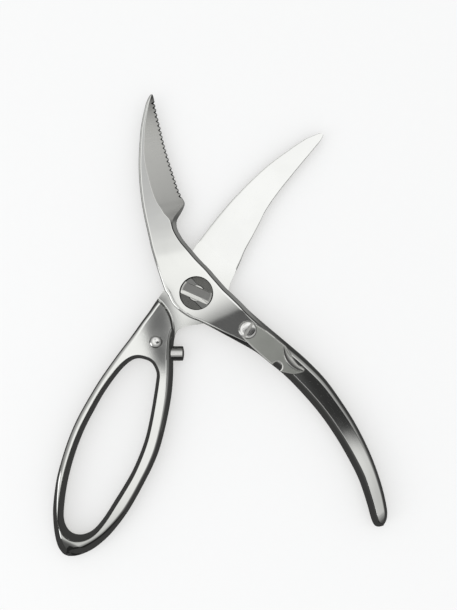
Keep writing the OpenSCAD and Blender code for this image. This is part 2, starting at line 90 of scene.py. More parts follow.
def skin(rings, closed_long=False, grain_around=False, finish=0):
    """Quads between ring i and ring i + 1, point k and point k + 1, with the last point joined to the
    first. The first and last rings are closed with one flat face each, unless the rings join up
    lengthwise. Volume is a sum of triangle corners, and a negative one turns every face round.
    rings has the shape (rings, points, 3), in millimetres. finish picks the material slot."""
    count, points, _ = rings.shape
    rows = count if closed_long else count - 1
    i = np.arange(rows)[:, None]
    k = np.arange(points)[None, :]
    after, beside = (i + 1) % count, (k + 1) % points
    quads = np.stack([i * points + k, i * points + beside, after * points + beside,
                      after * points + k], -1)
    steps = np.linalg.norm(np.roll(rings, -1, 0) - rings, axis=2).mean(1)
    along = np.concatenate([[0], np.cumsum(steps)])[:, None] + np.zeros((1, points + 1))
    gaps = np.linalg.norm(np.roll(rings, -1, 1) - rings, axis=2)
    around = np.concatenate([np.zeros((count, 1)), np.cumsum(gaps, 1)], 1)
    around = np.vstack([around, around[:1]])
    u, v = (np.mean(around, 0)[None, :] + 0 * along, along) if grain_around else (along, around)
    corner = np.stack([np.stack([u[i, k], v[i, k]], -1), np.stack([u[i, k + 1], v[i, k + 1]], -1),
                       np.stack([u[i + 1, k + 1], v[i + 1, k + 1]], -1),
                       np.stack([u[i + 1, k], v[i + 1, k]], -1)], -2)
    verts = rings.reshape(-1, 3)
    a, b, c, d = (verts[quads[..., j]] for j in range(4))
    volume = np.einsum("...i,...i", a, np.cross(b, c) + np.cross(c, d)).sum()
    quads, corner = quads.reshape(-1, 4), corner.reshape(-1, 4, 2)
    caps = []
    if not closed_long:
        caps = [list(range(points))[::-1], list(range((count - 1) * points, count * points))]
        for cap in caps:
            p = verts[cap]
            volume += np.einsum("ij,ij", p[:1] + 0 * p[1:-1], np.cross(p[1:-1], p[2:]))
    cap_uv = [verts[cap][:, :2] for cap in caps]
    if volume < 0:
        quads, corner = quads[:, ::-1], corner[:, ::-1]
        caps, cap_uv = [c[::-1] for c in caps], [c[::-1] for c in cap_uv]
    finishes = np.broadcast_to(finish, (rows, points)).ravel() if np.ndim(finish) < 1 else finish.ravel()
    return {"verts": verts, "faces": quads.tolist() + caps,
            "uv": np.concatenate([corner.reshape(-1, 2), *cap_uv]),
            "finish": np.concatenate([finishes, [finishes[0], finishes[-1]][:len(caps)]]).astype(int)}


def make(name, *skins):
    """One object out of several skins: their points and faces are listed one after another."""
    verts, faces, start = [], [], 0
    for s in skins:
        verts.append(s["verts"])
        faces += [[start + v for v in f] for f in s["faces"]]
        start += len(s["verts"])
    mesh = bpy.data.meshes.new(name)
    mesh.from_pydata((np.concatenate(verts) * MM).tolist(), [], faces)
    grain = mesh.uv_layers.new(name="grain")
    grain.data.foreach_set("uv", (np.concatenate([s["uv"] for s in skins]) * MM).ravel())
    mesh.polygons.foreach_set("material_index", np.concatenate([s["finish"] for s in skins]))
    mesh.update()
    for _ in range(FINISHES):
        mesh.materials.append(None)
    piece = bpy.data.objects.new(name, mesh)
    bpy.context.scene.collection.objects.link(piece)
    return piece


cube = skin(np.array([[[0, 0, z], [1, 0, z], [1, 1, z], [0, 1, z]] for z in (0, 1)], float))
print("a cube is two rings of four points, and its skin has", len(cube["faces"]), "faces")

# %% [markdown]
# ## Cutting, and finishing a piece
# Real steel gets its holes, slots and teeth from cutters, and so does this model. A cutter is a skin
# of its own, with its chamfer built in, so the edge it leaves is already broken. The exact Boolean
# solver takes it away from the piece at once, and each cut face keeps the finish of its cutter.
# Weighted normals keep flat faces flat in the light right up to their rounded edges.

# %% Cutters and finishing
def carve(piece, *tools, operation="DIFFERENCE"):
    """Takes each tool's volume out of the piece, or adds it, and removes the tool. Last, points less
    than a thousandth of a millimetre apart become one."""
    for tool in tools:
        cut = piece.modifiers.new("cut", "BOOLEAN")
        cut.operation, cut.solver, cut.object = operation, "EXACT", tool
        graph = bpy.context.evaluated_depsgraph_get()
        mesh = bpy.data.meshes.new_from_object(
            piece.evaluated_get(graph), preserve_all_data_layers=True, depsgraph=graph)
        piece.modifiers.clear()
        old, piece.data = piece.data, mesh
        bpy.data.meshes.remove(old)
        mesh.name = piece.name
        bpy.data.objects.remove(tool)
    weld = bmesh.new()
    weld.from_mesh(piece.data)
    bmesh.ops.remove_doubles(weld, verts=weld.verts, dist=0.001 * MM)
    weld.to_mesh(piece.data)
    weld.free()


def finish_piece(piece, body, node, slot, *materials):
    """Smooth faces, with sharp edges where the angle is over STEEL_SHARP and where two finishes meet;
    then the body that it rides on, and the CAD node that it stands for. An edge lies between two
    finishes when the least and the most finish index of the faces beside it differ."""
    mesh = piece.data
    finish = np.zeros(len(mesh.polygons), np.int32)
    mesh.polygons.foreach_get("material_index", finish)
    mesh.materials.clear()
    for m in materials:
        mesh.materials.append(m)
    mesh.polygons.foreach_set("material_index", np.minimum(finish, len(materials) - 1))
    mesh.shade_smooth()
    mesh.set_sharp_from_angle(angle=STEEL_SHARP)
    edges, sizes = np.zeros(len(mesh.loops), int), np.zeros(len(mesh.polygons), int)
    mesh.loops.foreach_get("edge_index", edges)
    mesh.polygons.foreach_get("loop_total", sizes)
    of_loop = np.repeat(finish, sizes)
    least, most = np.full(len(mesh.edges), FINISHES), np.zeros(len(mesh.edges), int)
    np.minimum.at(least, edges, of_loop)
    np.maximum.at(most, edges, of_loop)
    sharp = np.zeros(len(mesh.edges), bool)
    mesh.attributes["sharp_edge"].data.foreach_get("value", sharp)
    mesh.attributes["sharp_edge"].data.foreach_set("value", sharp | (least != most))
    weigh = piece.modifiers.new("flat faces stay flat", "WEIGHTED_NORMAL")
    weigh.keep_sharp = True
    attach(piece, body)
    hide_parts(node)
    loose = int((np.bincount(edges, minlength=len(mesh.edges)) != 2).sum())
    print(piece.name, "faces", len(mesh.polygons), "finishes", sorted(set(finish.tolist())),
          "open edges", loose)


# %% [markdown]
# ## Curves through measured places
# A forged outline is a smooth curve through a few known places. A Catmull-Rom curve passes through
# each of them and needs no handles. The halves are written down as rows, each with how far out it
# lies along the arm and how far the metal reaches to either side.

# %% Curves
def curve_through(rows, steps, closed=False):
    """Catmull-Rom: between b and c, with neighbours a and d, the point at t is half of
    2b + (c-a)t + (2a-5b+4c-d)t^2 + (3b-a-3c+d)t^3."""
    rows = np.asarray(rows, float)
    if closed:
        a, b, c, d = (np.roll(rows, s, 0)[:, None] for s in (1, 0, -1, -2))
    else:
        p = np.vstack([rows[:1], rows, rows[-1:]])
        a, b, c, d = p[:-3, None], p[1:-2, None], p[2:-1, None], p[3:, None]
    t = (np.arange(steps) / steps)[None, :, None]
    points = 0.5 * (2*b + (c-a)*t + (2*a - 5*b + 4*c - d)*t**2 + (3*b - a - 3*c + d)*t**3)
    points = points.reshape(-1, rows.shape[1])
    return points if closed else np.vstack([points, rows[-1:]])


def turned(points, degrees):
    """Points turned about the pivot: x cos a - y sin a, x sin a + y cos a."""
    a = math.radians(degrees)
    x, y = np.asarray(points, float)[..., 0], np.asarray(points, float)[..., 1]
    return np.stack([x*math.cos(a) - y*math.sin(a), x*math.sin(a) + y*math.cos(a)], -1)


def grown(outline, distance):
    """A closed outline moved outwards, along the right-hand normal of its anticlockwise direction."""
    along = np.roll(outline, -1, 0) - np.roll(outline, 1, 0)
    along /= np.linalg.norm(along, axis=1, keepdims=True)
    return outline + distance * np.stack([along[:, 1], -along[:, 0]], -1)


def arm_sides(rows, direction, left, right):
    """Left and right points from rows of distance and reach, turned to the arm's direction."""
    rows = np.asarray(rows, float)
    return np.hstack([turned(rows[:, [0, left]], direction), turned(rows[:, [0, right]], direction)])


def along_arm(sides, direction):
    """How far out along the arm the middle of each station lies."""
    return turned((sides[:, :2] + sides[:, 2:]) / 2, -direction)[:, 0]


def bell(offsets):
    """Weights exp(-offset^2 / 2), scaled to a sum of one."""
    weights = np.exp(-0.5 * offsets ** 2)
    return weights / weights.sum()


def stack(outlines, heights):
    """Rings out of flat outlines, each lifted to its height."""
    return np.stack([np.column_stack([o, np.full(len(o), h)]) for o, h in zip(outlines, heights)])


print("a ring through four places", curve_through(
    [[1, 0], [0, 1], [-1, 0], [0, -1]], 2, closed=True).round(2).tolist())

# %% [markdown]
# ## The cross-section of a half
# Seen end-on, each half is a bar whose four long edges are either ground to a bevel or rounded by
# the polishing wheel. Each edge is a slope of two facets: on the blade the inner one is the ground
# face and the outer one the fine bevel at the cutting edge, and on a handle the two together make a
# rounding. A slope has a width, a depth, a bulge, a softness that says how much of its corners is
# rounded away, and the shares of width and depth that belong to the inner facet. Building the
# rounding into the section keeps the lines clean all the way from the handle to the blade tip,
# which a Bevel modifier on such a long changing shape doesn't.

# %% Sections with rounded corners
BOTTOM_LEFT, TOP_LEFT, TOP_RIGHT, BOTTOM_RIGHT = 2, 8, 14, 20   # where each slope's six numbers start
CROWN = 26
CORNER_STEPS = 3
SIDE_STEPS = np.array([0.04, 0.35, 0.65, 0.96])
POINTS_PER_CORNER = CORNER_STEPS + 1 + len(SIDE_STEPS)


def slope_points(slope, level, up):
    """The three corners of one slope, from the face to the side: a width in from the side at the
    level, then the place where the two facets meet, then a depth away from the level at the side."""
    width, depth, _, _, share_in, share_down = slope.T
    return np.stack([np.stack([width, width * (1 - share_in), 0 * width], 1),
                     np.stack([level, level + up * depth * share_down, level + up * depth], 1)], -1)


def section_rings(sides, form):
    """For each station, left and right points and a form give twelve corners in the plane across the
    bar. Each corner becomes a small parabola between points r before and r after it, and each side
    between corners bows out by its bulge as 4 f (1 - f)."""
    left, right = sides[:, :2], sides[:, 2:]
    wide = np.linalg.norm(right - left, axis=1)
    across = (right - left) / wide[:, None]
    low, high = form[:, 0], form[:, 1]
    bl, tl, tr, br = (form[:, s:s + 6].copy() for s in (BOTTOM_LEFT, TOP_LEFT, TOP_RIGHT, BOTTOM_RIGHT))
    fit = np.minimum(1, 0.9 * wide / np.maximum(tl[:, 0] + tr[:, 0], bl[:, 0] + br[:, 0]))
    for top, bottom in ((tl, bl), (tr, br)):
        room = np.minimum(1, 0.94 * (high - low) / (top[:, 1] + bottom[:, 1]))
        for slope in (top, bottom):
            slope[:, 0] *= fit
            slope[:, 1] *= room
    right_side = np.concatenate([slope_points(tr, high, -1), slope_points(br, low, 1)[:, ::-1]], 1)
    right_side[..., 0] = wide[:, None] - right_side[..., 0]
    corners = np.concatenate([slope_points(bl, low, 1), slope_points(tl, high, -1)[:, ::-1], right_side], 1)
    none = 0 * wide
    bulge = np.stack([bl[:, 2], bl[:, 2], none, tl[:, 2], tl[:, 2], form[:, CROWN],
                      tr[:, 2], tr[:, 2], none, br[:, 2], br[:, 2], none], 1)
    edge = np.roll(corners, -1, 1) - corners
    length = np.linalg.norm(edge, axis=2)
    direction = edge / length[..., None]
    soft = np.repeat(np.stack([bl[:, 3], tl[:, 3], tr[:, 3], br[:, 3]], 1), 3, axis=1)
    facet = np.repeat(length.reshape(-1, 4, 3)[:, :, :2].min(2), 3, axis=1)
    r = np.minimum(0.1 + 0.55 * soft * facet, 0.46 * np.minimum(length, np.roll(length, 1, 1)))[..., None]
    before, after = corners - np.roll(direction, 1, 1) * r, corners + direction * r
    t = np.linspace(0, 1, CORNER_STEPS + 1)[:, None]
    bend = (1-t)**2 * before[:, :, None] + 2*t*(1-t) * corners[:, :, None] + t**2 * after[:, :, None]
    ahead = np.roll(before, -1, 1)
    f = SIDE_STEPS[:, None]
    outward = np.stack([-direction[..., 1], direction[..., 0]], -1)[:, :, None]
    side = after[:, :, None] + f * (ahead - after)[:, :, None] \
        + outward * (4 * f * (1 - f)) * bulge[:, :, None, None]
    flat = np.concatenate([bend, side], 2).reshape(len(wide), -1, 2)
    return np.concatenate([left[:, None] + across[:, None] * flat[..., :1], flat[..., 1:]], -1)


def even_stations(sides, form, gap, finer=0):
    """Fills the rows in with the smooth curve, then takes stations every gap millimetres along the
    middle, with finer ones over the last few millimetres. Forms are blended in straight lines and
    evened out with a bell-shaped average a few stations wide."""
    steps, half_bell = 16, 6
    dense = curve_through(sides, steps)
    at_row = np.arange(len(dense)) / steps
    middle = (dense[:, :2] + dense[:, 2:]) / 2
    far = np.concatenate([[0], np.cumsum(np.linalg.norm(np.diff(middle, axis=0), axis=1))])
    stations = np.arange(0, far[-1] - finer, gap)
    last = np.linspace(stations[-1] + gap, far[-1], 1 + int(3 * finer / gap))
    stations = np.concatenate([stations, last])
    row = np.interp(stations, far, at_row)
    smooth = np.stack([np.interp(row, at_row, dense[:, j]) for j in range(4)], 1)
    form = np.stack([np.interp(row, np.arange(len(form)), column) for column in form.T], 1)
    weights = bell(np.arange(-half_bell, half_bell + 1) / 2.4)
    padded = np.vstack([np.repeat(form[:1], half_bell, 0), form, np.repeat(form[-1:], half_bell, 0)])
    return smooth, np.stack([np.convolve(column, weights, "valid") for column in padded.T], 1)


print("points round a section", 12 * POINTS_PER_CORNER)

# %% [markdown]
# ## Lengths, levels and directions
# The frame already knows these. The two halves slide on each other at half the handle's thickness,
# the latch lies just above it, and each turned piece is centred in its own CAD box.

# %% Levels and centres from the frame
def box_mm(node):
    """The two corners of a CAD node's box, in millimetres."""
    low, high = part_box(node)
    return np.array(low) * 1000, np.array(high) * 1000


handle_thick = box_mm("rear_half")[1][2]
HALF_GAP = 0.05         # each half stays this far from the plane between them
front_level, rear_level = handle_thick / 2 + HALF_GAP, handle_thick / 2 - HALF_GAP
half_thick = handle_thick - front_level
screw_at = np.mean(box_mm("latch_screw"), 0)[:2]
catch_at = np.mean(box_mm("catch_stud"), 0)[:2]
FRONT_BLADE, REAR_BLADE, FRONT_HANDLE, REAR_HANDLE = 102.8, 51.8, -52.5, -115.4
CLEAR_R = 26.5          # each half is cut back this far round the pivot to let the other past
BLADE_LENGTH, TAPER_FROM, TIP_THICK = 102, 20, 1.5
EDGE_THICK = 0.4        # what the ground face leaves at the cutting edge
print("thickness", round(handle_thick, 2), "latch screw", screw_at.round(2), "catch", catch_at.round(2))


def blade_thick(x):
    """Full half thickness up to TAPER_FROM, then a straight taper to TIP_THICK at the tip."""
    taper = np.maximum(0, x - TAPER_FROM) / (BLADE_LENGTH - TAPER_FROM)
    return half_thick + (TIP_THICK - half_thick) * taper


# %% [markdown]
# ## The front half: blade, shank and open handle
# One forging. The blade's upper face is ground to the toothed edge, a narrow bevel runs down the
# spine, and a hollow band runs down the other side of the shank. Round the pivot the face is flat.
# Past it the face dips a little under the latch and the edges become rounder, for the hand.
# Each row below is the distance from the pivot, the reach to the left and to the right, seen
# looking outwards, and on the blade the width of the ground face. The rows round the boss are the
# left and the right point instead, because the bar turns a corner there.

# %% Front half outline
front_blade = np.array([
    [102, 0.3, -0.5, 0.4], [101, 1.5, -0.7, 1.2], [98.5, 3.4, -0.7, 2.6], [95, 5.2, -0.6, 4.2],
    [90, 7.5, -0.6, 6.4], [85, 9.4, -0.7, 8.6], [76, 12.1, -0.8, 10.6], [68, 14.1, -1.3, 12],
    [60, 15.5, -2, 12.6], [53, 16.3, -2.6, 12.7], [48, 16.7, -3.6, 12.8], [45, 16.8, -4.1, 12.4],
    [41.7, 16.9, -2, 9], [38.5, 16.9, 1, 3.4], [36, 16.9, 2.2, 2.3], [32.5, 16.9, 2.1, 2.3],
    [27, 16.9, 0.3, 2.3], [21.5, 16.6, -2.5, 2.3], [16, 16.2, -5.4, 2.3], [10, 15.6, -9.1, 2.3]])
front_boss = np.array([
    [-15.75, 1.6, 9.3, 8.7], [-14.2, -0.8, 11.75, 5.9], [-12.5, -4.4, 13.8, 3.6],
    [-10.4, -7, 15.6, 1.7], [-7.2, -9.7, 17.8, -0.3], [-3.25, -12.2, 20.2, -2.6],
    [1.75, -14.2, 22.6, -4.9], [6.5, -16.5, 25, -7.4]])
open_handle = np.array([
    [24, 15.8, -1.8], [31, 17.2, 1.3], [41, 19.4, 5.5], [50, 21.4, 7.8], [60, 23.4, 10.1],
    [73, 24.9, 11.6], [86, 24.6, 12.2], [99, 23.5, 11.6], [112.5, 21.1, 9.9], [124, 18, 7.6],
    [135, 14, 3.9], [143, 10.2, 0.7], [146.5, 8, 0], [148.3, 6, 1], [149, 4.3, 2.3]])
front_sides = np.vstack([arm_sides(front_blade, FRONT_BLADE, 1, 2), front_boss,
                         arm_sides(open_handle, FRONT_HANDLE, 2, 1)])


def form_rows(count, low, high, bottom_left, top_left, top_right, bottom_right, crown=0.0):
    """Puts a form together: bottom and top level, then the six numbers of each slope, then the crown."""
    columns = [low, high, *bottom_left, *top_left, *top_right, *bottom_right, crown]
    return np.stack([np.broadcast_to(np.asarray(c, float), count) for c in columns], 1)


BROKEN = (0.1, 0.1, 0.0, 0.3, 0.5, 0.5)             # a sharp edge, only just broken
ROUNDED = (1.9, 0.4 * handle_thick, 0.08, 0.7, 0.5, 0.2)
BANK = (2.3, 1.5, 0.0, 0.05, 0.22, 0.42)            # the band down the shank: a steep line, then a slope
SPINE = (1.2, 0.5, 0.02, 0.4, 0.5, 0.4)
NOTCH_FROM = (40, 37)       # two stations of the bone notch, where the ground face turns into the band


def ground_slope(x, width, thick, cutting_from, notch=((), (), ())):
    """The slope that a blade is ground with: down to EDGE_THICK, with a fine bevel 0.2 wide and 0.12
    deep at the edge, from cutting_from outwards, and the shank's band inside that. Between them may
    come a notch: rows of depth, share in and share down, each from its own distance outwards."""
    where = [x > cutting_from, *(x > start for start in NOTCH_FROM[:len(notch[0])])]
    depth = np.select(where, [thick - EDGE_THICK, *notch[0]], BANK[1])
    share_in = np.select(where, [1 - np.minimum(0.2, width / 2) / width, *notch[1]], BANK[4])
    share_down = np.select(where, [1 - 0.12 / depth, *notch[2]], BANK[5])
    return width, depth, 0, 0.05, share_in, share_down


x, ground = front_blade[:, 0], front_blade[:, 3]
thick = blade_thick(x)
front_form = np.vstack([
    form_rows(len(x), np.where(x > 20, front_level + 0.01, front_level - 1), front_level + thick, BROKEN,
              (SPINE[0], SPINE[1] * thick / half_thick, *SPINE[2:]),
              ground_slope(x, ground, thick, 44, ((3.2, 1.9), (.78, .47), (.62, .24))), BROKEN),
    form_rows(len(front_boss), 0, handle_thick, ROUNDED, SPINE, BANK, ROUNDED),
    form_rows(len(open_handle), 0,
              handle_thick - np.array([.12, .22, .25, .25, .2, .1, .05, 0, 0, 0, 0, 0, 0, 0, 0]), ROUNDED,
              (np.array([1.4, 1.9, 2.6, 3.1, 3.3, *[3.4] * 5, 3.3, 3.2, 3, 3, 3]),
               np.array([.9, 1.5, 2.4, 3, 3.4, *[3.6] * 10]), 0.04, 0.03, 0.5, 0.42),
              (np.array([2.4, 2.7, 3.1, 3.3, 3.2, 2.9, 2.6, 2.3, 2.1, 2, 2, 2, 2.4, 2.6, 2.6]),
               np.array([1.6, 1.8, 2.2, 2.6, 3, *[3.2] * 7, 3.4, 3.4, 3.4]), 0.02,
               np.array([.05, .08, .12, .16, .2, .25, .28, .3, .3, .3, .3, .4, .5, .8, .8]),
               np.array([.25, .3, .35, .4, .45, *[.5] * 10]),
               np.array([.4, .34, .26, .2, .17, .16, .16, .16, .16, .18, .22, .3, .4, .5, .5])),
              ROUNDED, 0.04)])


def rounded_end(sides, form, direction, start, end, draw, slope=0.0):
    """Past start, the bottom rises and the top sinks as a quarter ellipse, so the bar's end is round. A
    share called slope of the sinking is spread evenly instead, which makes the rounding start at once."""
    share = np.clip((along_arm(sides, direction) - start) / (end - start), 0, 1)
    lift = draw * ((1 - slope) * (1 - np.sqrt(np.maximum(1 - share**2, 0))) + slope * share**1.3)
    form[:, 0] += lift
    form[:, 1] -= lift


sides, form = even_stations(front_sides, front_form, 0.5, finer=6)
rounded_end(sides, form, FRONT_HANDLE, 142.5, 149.2, 4.2)
rings = section_rings(sides, form)
finish = np.zeros((len(rings) - 1, rings.shape[1]), int)
ground_face = slice(6 * POINTS_PER_CORNER + 2, 7 * POINTS_PER_CORNER + 2)
finish[along_arm(sides, FRONT_BLADE)[:-1] > 37.5, ground_face] = 1
front = make("front_half_steel", skin(rings, finish=finish))
print("front half stations", len(rings), "points round", rings.shape[1])

# %% [markdown]
# ## What is cut into the front half
# A round recess takes the stud's head, and a keyhole slot at an angle lets the head through when the
# shears are opened wide to take them apart. The teeth are filed in from the edge, each gullet leaning
# towards the pivot so it grips. Under the shank a round clearance lets the other half pass.

# %% Cutters for the front half
def turned_piece(profile, centre, around=96, finish=0):
    """A lathe: each row of the profile, a radius and a height, becomes a circle about the centre. A
    radius of 0.01 closes the piece on its axis."""
    profile = np.asarray(profile, float)
    a = np.linspace(0, 2 * np.pi, around, endpoint=False)
    r, h = profile[:, :1], profile[:, 1:2]
    rings = np.stack([centre[0] + r * np.cos(a), centre[1] + r * np.sin(a), h + 0 * a], -1)
    return skin(rings, grain_around=True, finish=finish)


def prism(outline, levels, growth, finish=0):
    """An outline carried straight up through the levels, grown outwards by a given amount at each."""
    return skin(stack([grown(outline, g) for g in growth], levels), finish=finish)


KEYHOLE_TURN, HEAD_TURN = 135, 156      # degrees; the halves come apart where the two line up
recess_r, floor_level = 8.2, front_level + 2
recess = make("tool", turned_piece([[0.01, floor_level], [7.9, floor_level], [8.1, floor_level + 0.08],
                                    [recess_r, floor_level + 0.25], [recess_r, handle_thick - 0.22],
                                    [recess_r + 0.22, handle_thick], [recess_r + 0.6, handle_thick + 0.38],
                                    [0.01, handle_thick + 0.38]], (0, 0), finish=2))
journal = make("tool", turned_piece([[0.01, 4], [4.3, 4], [4.3, 5.05], [4.05, 5.3], [4.05, 6.8],
                                     [4.3, 7.05], [4.8, 7.55], [0.01, 7.55]], (0, 0), finish=2))
a = np.linspace(0, 2 * np.pi, 160, endpoint=False) + 0.02
keyhole_r = 1 / ((1 / 8.15) ** 30 + (np.abs(np.sin(a)) / 3.45) ** 30) ** (1 / 30)
keyhole = turned(np.column_stack([keyhole_r * np.cos(a), keyhole_r * np.sin(a)]), KEYHOLE_TURN)
keyhole_tool = make("tool", prism(keyhole, [4, 6.85, 7.05, 7.2], [0, 0, 0.2, 0.35], finish=2))
washer_seat = make("tool", turned_piece([[0.01, 2], [2.02, 2], [2.02, 9.5], [4.52, 9.5], [4.52, 11],
                                         [0.01, 11]], screw_at, 64))
under = make("tool", turned_piece(
    [[0.01, -3], [CLEAR_R, -3], [CLEAR_R, front_level], [0.01, front_level]], (0, 0), 160))
heel = make("tool", turned_piece([[0.01, -4], [39.5, -4], [39.5, 0], [40, 0.5], [40, 6], [0.01, 6]],
                                 turned([60, 4], FRONT_HANDLE), 240))
carve(under, heel)
print("recess", 2 * recess_r, "mm across, its floor at", round(floor_level, 2))

# %% [markdown]
# The gullets stand in a row along the cutting edge, so one cutter holds all of them. Each is a notch
# with a small round at the bottom. The wheel that grinds them comes in at a slant, so each notch
# reaches further in at the top. Its sloping wall is coloured nearly black as painted shade, and that
# shows as a row of dark teeth.

# %% Teeth
pitch, count = 2.3, 22
tooth_x = 97.537 - pitch * np.arange(count)
edge_y = np.interp(tooth_x, front_blade[::-1, 0], front_blade[::-1, 2])
notch = np.array([[-1.21, -1.5], [0.93, -1.51], [0.85, -0.5], [0.36, 0.02], [0.13, 0.28], [0.0, 0.34],
                  [-0.13, 0.29], [-0.52, 0.02], [-1.1, -0.5]])
lean = [[0, -0.75], [0, 4.4]]
gullets = [skin(stack([turned(notch + [tx, ty] + by, FRONT_BLADE) for by in lean],
                      [front_level - 1, front_level + 4]), finish=3)
           for tx, ty in zip(tooth_x, edge_y)]
carve(front, under, recess, journal, keyhole_tool, washer_seat, make("tool", *gullets))
print("teeth", count, "from", round(tooth_x[-1], 1), "to", tooth_x[0], "mm from the pivot")

# %% [markdown]
# ## The rear half: blade, shank and finger loop
# The second forging. Its blade lies under the first and is ground from below. Beyond the pivot it
# grows to full thickness at a rounded shoulder, and then opens into a long finger loop.

# %% Rear half outline
rear_blade = np.array([
    [102, 0.3, -0.6, 0.4], [101, 1.3, -1.1, 1], [98.5, 2.8, -1.5, 2], [95, 4.7, -1.4, 3.5],
    [90, 6.5, -1.3, 5.4], [85, 8, -1.1, 7], [76, 10.6, -0.9, 9], [68, 12.3, -0.8, 10.4],
    [60, 13.5, -1, 11.6], [53, 14.3, -1.7, 12], [48, 14.8, -2.8, 12.4], [40, 15.2, -4.3, 9],
    [32, 15.3, -5.7, 3.4], [26, 15.2, -7.4, 2.3], [20, 15, -8.9, 2.3], [13, 14.6, -10.7, 2.3]])
rear_boss = np.array([
    [-8.4, 13, 15.4, -2], [-11.5, 9.5, 13.4, -7.8], [-14.3, 5.3, 9.6, -12.2], [-16.75, 1.1, 4, -15],
    [-18.3, -1.2, -2.2, -16], [-19.9, -3.6, -6.3, -16.6], [-21.7, -6.4, -9.2, -18.3],
    [-23.5, -9.2, -10.9, -21], [-27.2, -14.2, -11.75, -26]])
loop_handle = np.array([
    [34.7, 3.5, -20.3], [42.7, 7.2, -22], [51.2, 10.4, -23.6], [60, 12.9, -25], [69.5, 15.1, -26],
    [79.3, 16.8, -26.7], [88, 17.3, -26.7], [96, 17.1, -26.1], [104.2, 16.7, -25], [112.4, 16, -23.5],
    [120, 14.7, -21.4], [127.8, 12.7, -18.7], [134, 10.3, -15.8], [139, 7.5, -12.9],
    [142.5, 4.6, -10.3], [145, 1.7, -7.7], [146.6, -1.4, -4.8]])
rear_sides = np.vstack([arm_sides(rear_blade, REAR_BLADE, 1, 2), rear_boss,
                        arm_sides(loop_handle, REAR_HANDLE, 2, 1)])
x, ground = rear_blade[:, 0], rear_blade[:, 3]
thick = blade_thick(x)
rear_form = np.vstack([
    form_rows(len(x), rear_level - thick, np.where(x > 19, rear_level - 0.01, rear_level + 1),
              ground_slope(x, ground, thick, 35),
              BROKEN, BROKEN, (SPINE[0], SPINE[1] * thick / half_thick, *SPINE[2:])),
    form_rows(len(rear_boss), 0, handle_thick, SPINE,
              (np.array([1.9, 1.9, 1.9, 1.9, 1.9, 1.8, 1.6, 1.5, 1.4]),
               np.array([4, 4, 4, 4, 4, 3, 2, 1.7, 1.5]), 0.03, 0.4, 0.6, 0.3),
              (np.array([1.9, 1.9, 1.9, 2, 2.2, 2.4, 2.6, 2.7, 2.7]),
               np.array([4, 4, 4, 4, 3.6, 3.4, 3.2, 3.2, 3.2]), 0.03, 0.35, 0.5, 0.3), SPINE),
    form_rows(len(loop_handle), 0, handle_thick, ROUNDED,
              (np.array([1.9] * 9 + [2, 2.3, 2.9, 3.6, 4.4, 5, 5.5, 5.5]),
               np.array([1.5] * 7 + [1.6, 1.8, 2, 2.4, 3.1, 4, 4.8, 5, 5, 5]),
               0.02, 0.4, np.array([.75] * 9 + [.7, .65, .6, .5, .5, .5, .5, .5]),
               np.array([.3] * 9 + [.34, .4, .45, .5, .5, .5, .5, .5])),
              (np.array([2.7, 2.7, 2.6, 2.5, 2.4, 2.4, 2.4, 2.4, 2.4, 2.6, 3, 3.6, 4.4, 5.4, 6, 6, 6]),
               np.array([3.2] * 10 + [3.3, 3.6, 4, 4.6, 5, 5, 5]),
               0.03, np.array([.35] * 10 + [.4, .5, .6, .7, .8, .8, .8]), 0.5,
               np.array([.3] * 10 + [.35, .42, .5, .5, .5, .5, .5])),
              ROUNDED, 0.03)])
sides, form = even_stations(rear_sides, rear_form, 0.5, finer=8)
rounded_end(sides, form, REAR_HANDLE, 138.6, 147.0, 4.7, slope=0.9)
rings = section_rings(sides, form)
finish = np.zeros((len(rings) - 1, rings.shape[1]), int)
finish[along_arm(sides, REAR_BLADE)[:-1] > 28, 2:POINTS_PER_CORNER + 2] = 1
rear = make("rear_half_steel", skin(rings, finish=finish))
print("rear half stations", len(rings), "points round", rings.shape[1])

# %% [markdown]
# ## What is cut into the rear half
# The finger loop's wall swells inwards so that it is kind to the fingers. The clearance round the pivot
# stops at a rounded shoulder. Below are the stud's seat with its countersink, and the bores for the
# catch, the buffer and the pin that keeps the buffer in.

# %% Cutters for the rear half
loop_rim = turned(curve_through([
    [39.2, -8.5], [40.4, -13.2], [43.5, -16.6], [49, -19.2], [57, -21.2], [66, -22.6], [76, -23.3],
    [86, -23.6], [96, -23], [106, -21.6], [116, -19.4], [125, -16.6], [132, -13.6], [136, -10],
    [137.8, -6], [137.4, -1.5], [134.7, 2.8], [130, 6], [122.3, 8.1], [112, 9.4], [103, 10.4],
    [95, 11], [86, 10.8], [77, 9.9], [68, 8], [58, 5.3], [49, 2.6], [44.2, 0.8], [41.2, -2],
    [39.5, -5]], 8, closed=True), REAR_HANDLE)
height = np.concatenate([[-0.6], np.linspace(0, handle_thick, 15), [handle_thick + 0.6]])
fullest = 0.32 * handle_thick       # the wall swells 1.9 mm into the loop at this height
away = (height - fullest) / np.where(height > fullest, handle_thick - fullest, 1.6 * fullest)
swell = -1.9 * (1 - np.abs(away) ** 2.1)
swell[-1] = 0.9
height[-2], swell[-2] = handle_thick - 0.15, 0.0
loop_tool = make("tool", prism(loop_rim, height, swell))
over = make("tool", turned_piece(
    [[0.01, rear_level], [CLEAR_R, rear_level], [CLEAR_R, 13], [0.01, 13]], (0, 0), 160))
drop = np.linspace(0, 1, 12)
shoulder = [[0.01, 3], [21.4, 3], [21.4, 6.2], *np.column_stack(
    [21.4 - 2.3 * (1 - np.sqrt(1 - (0.92 * drop) ** 2)), 6.2 + 4.2 * 0.92 * drop]),
    [19.1, 10.9], [0.01, 14]]
post = make("tool", turned_piece(shoulder, turned([37.7, 0], REAR_HANDLE - 33.9), 200))
carve(over, post)
rivet_seat = make("tool", turned_piece(
    [[0.01, -1], [5.22, -1], [5.22, 0], [3.32, 1.9], [3.32, 6], [0.01, 6]], (0, 0)))
catch_seat = make("tool", turned_piece([[0.01, 5], [1.77, 5], [1.77, 12], [0.01, 12]], catch_at, 48))


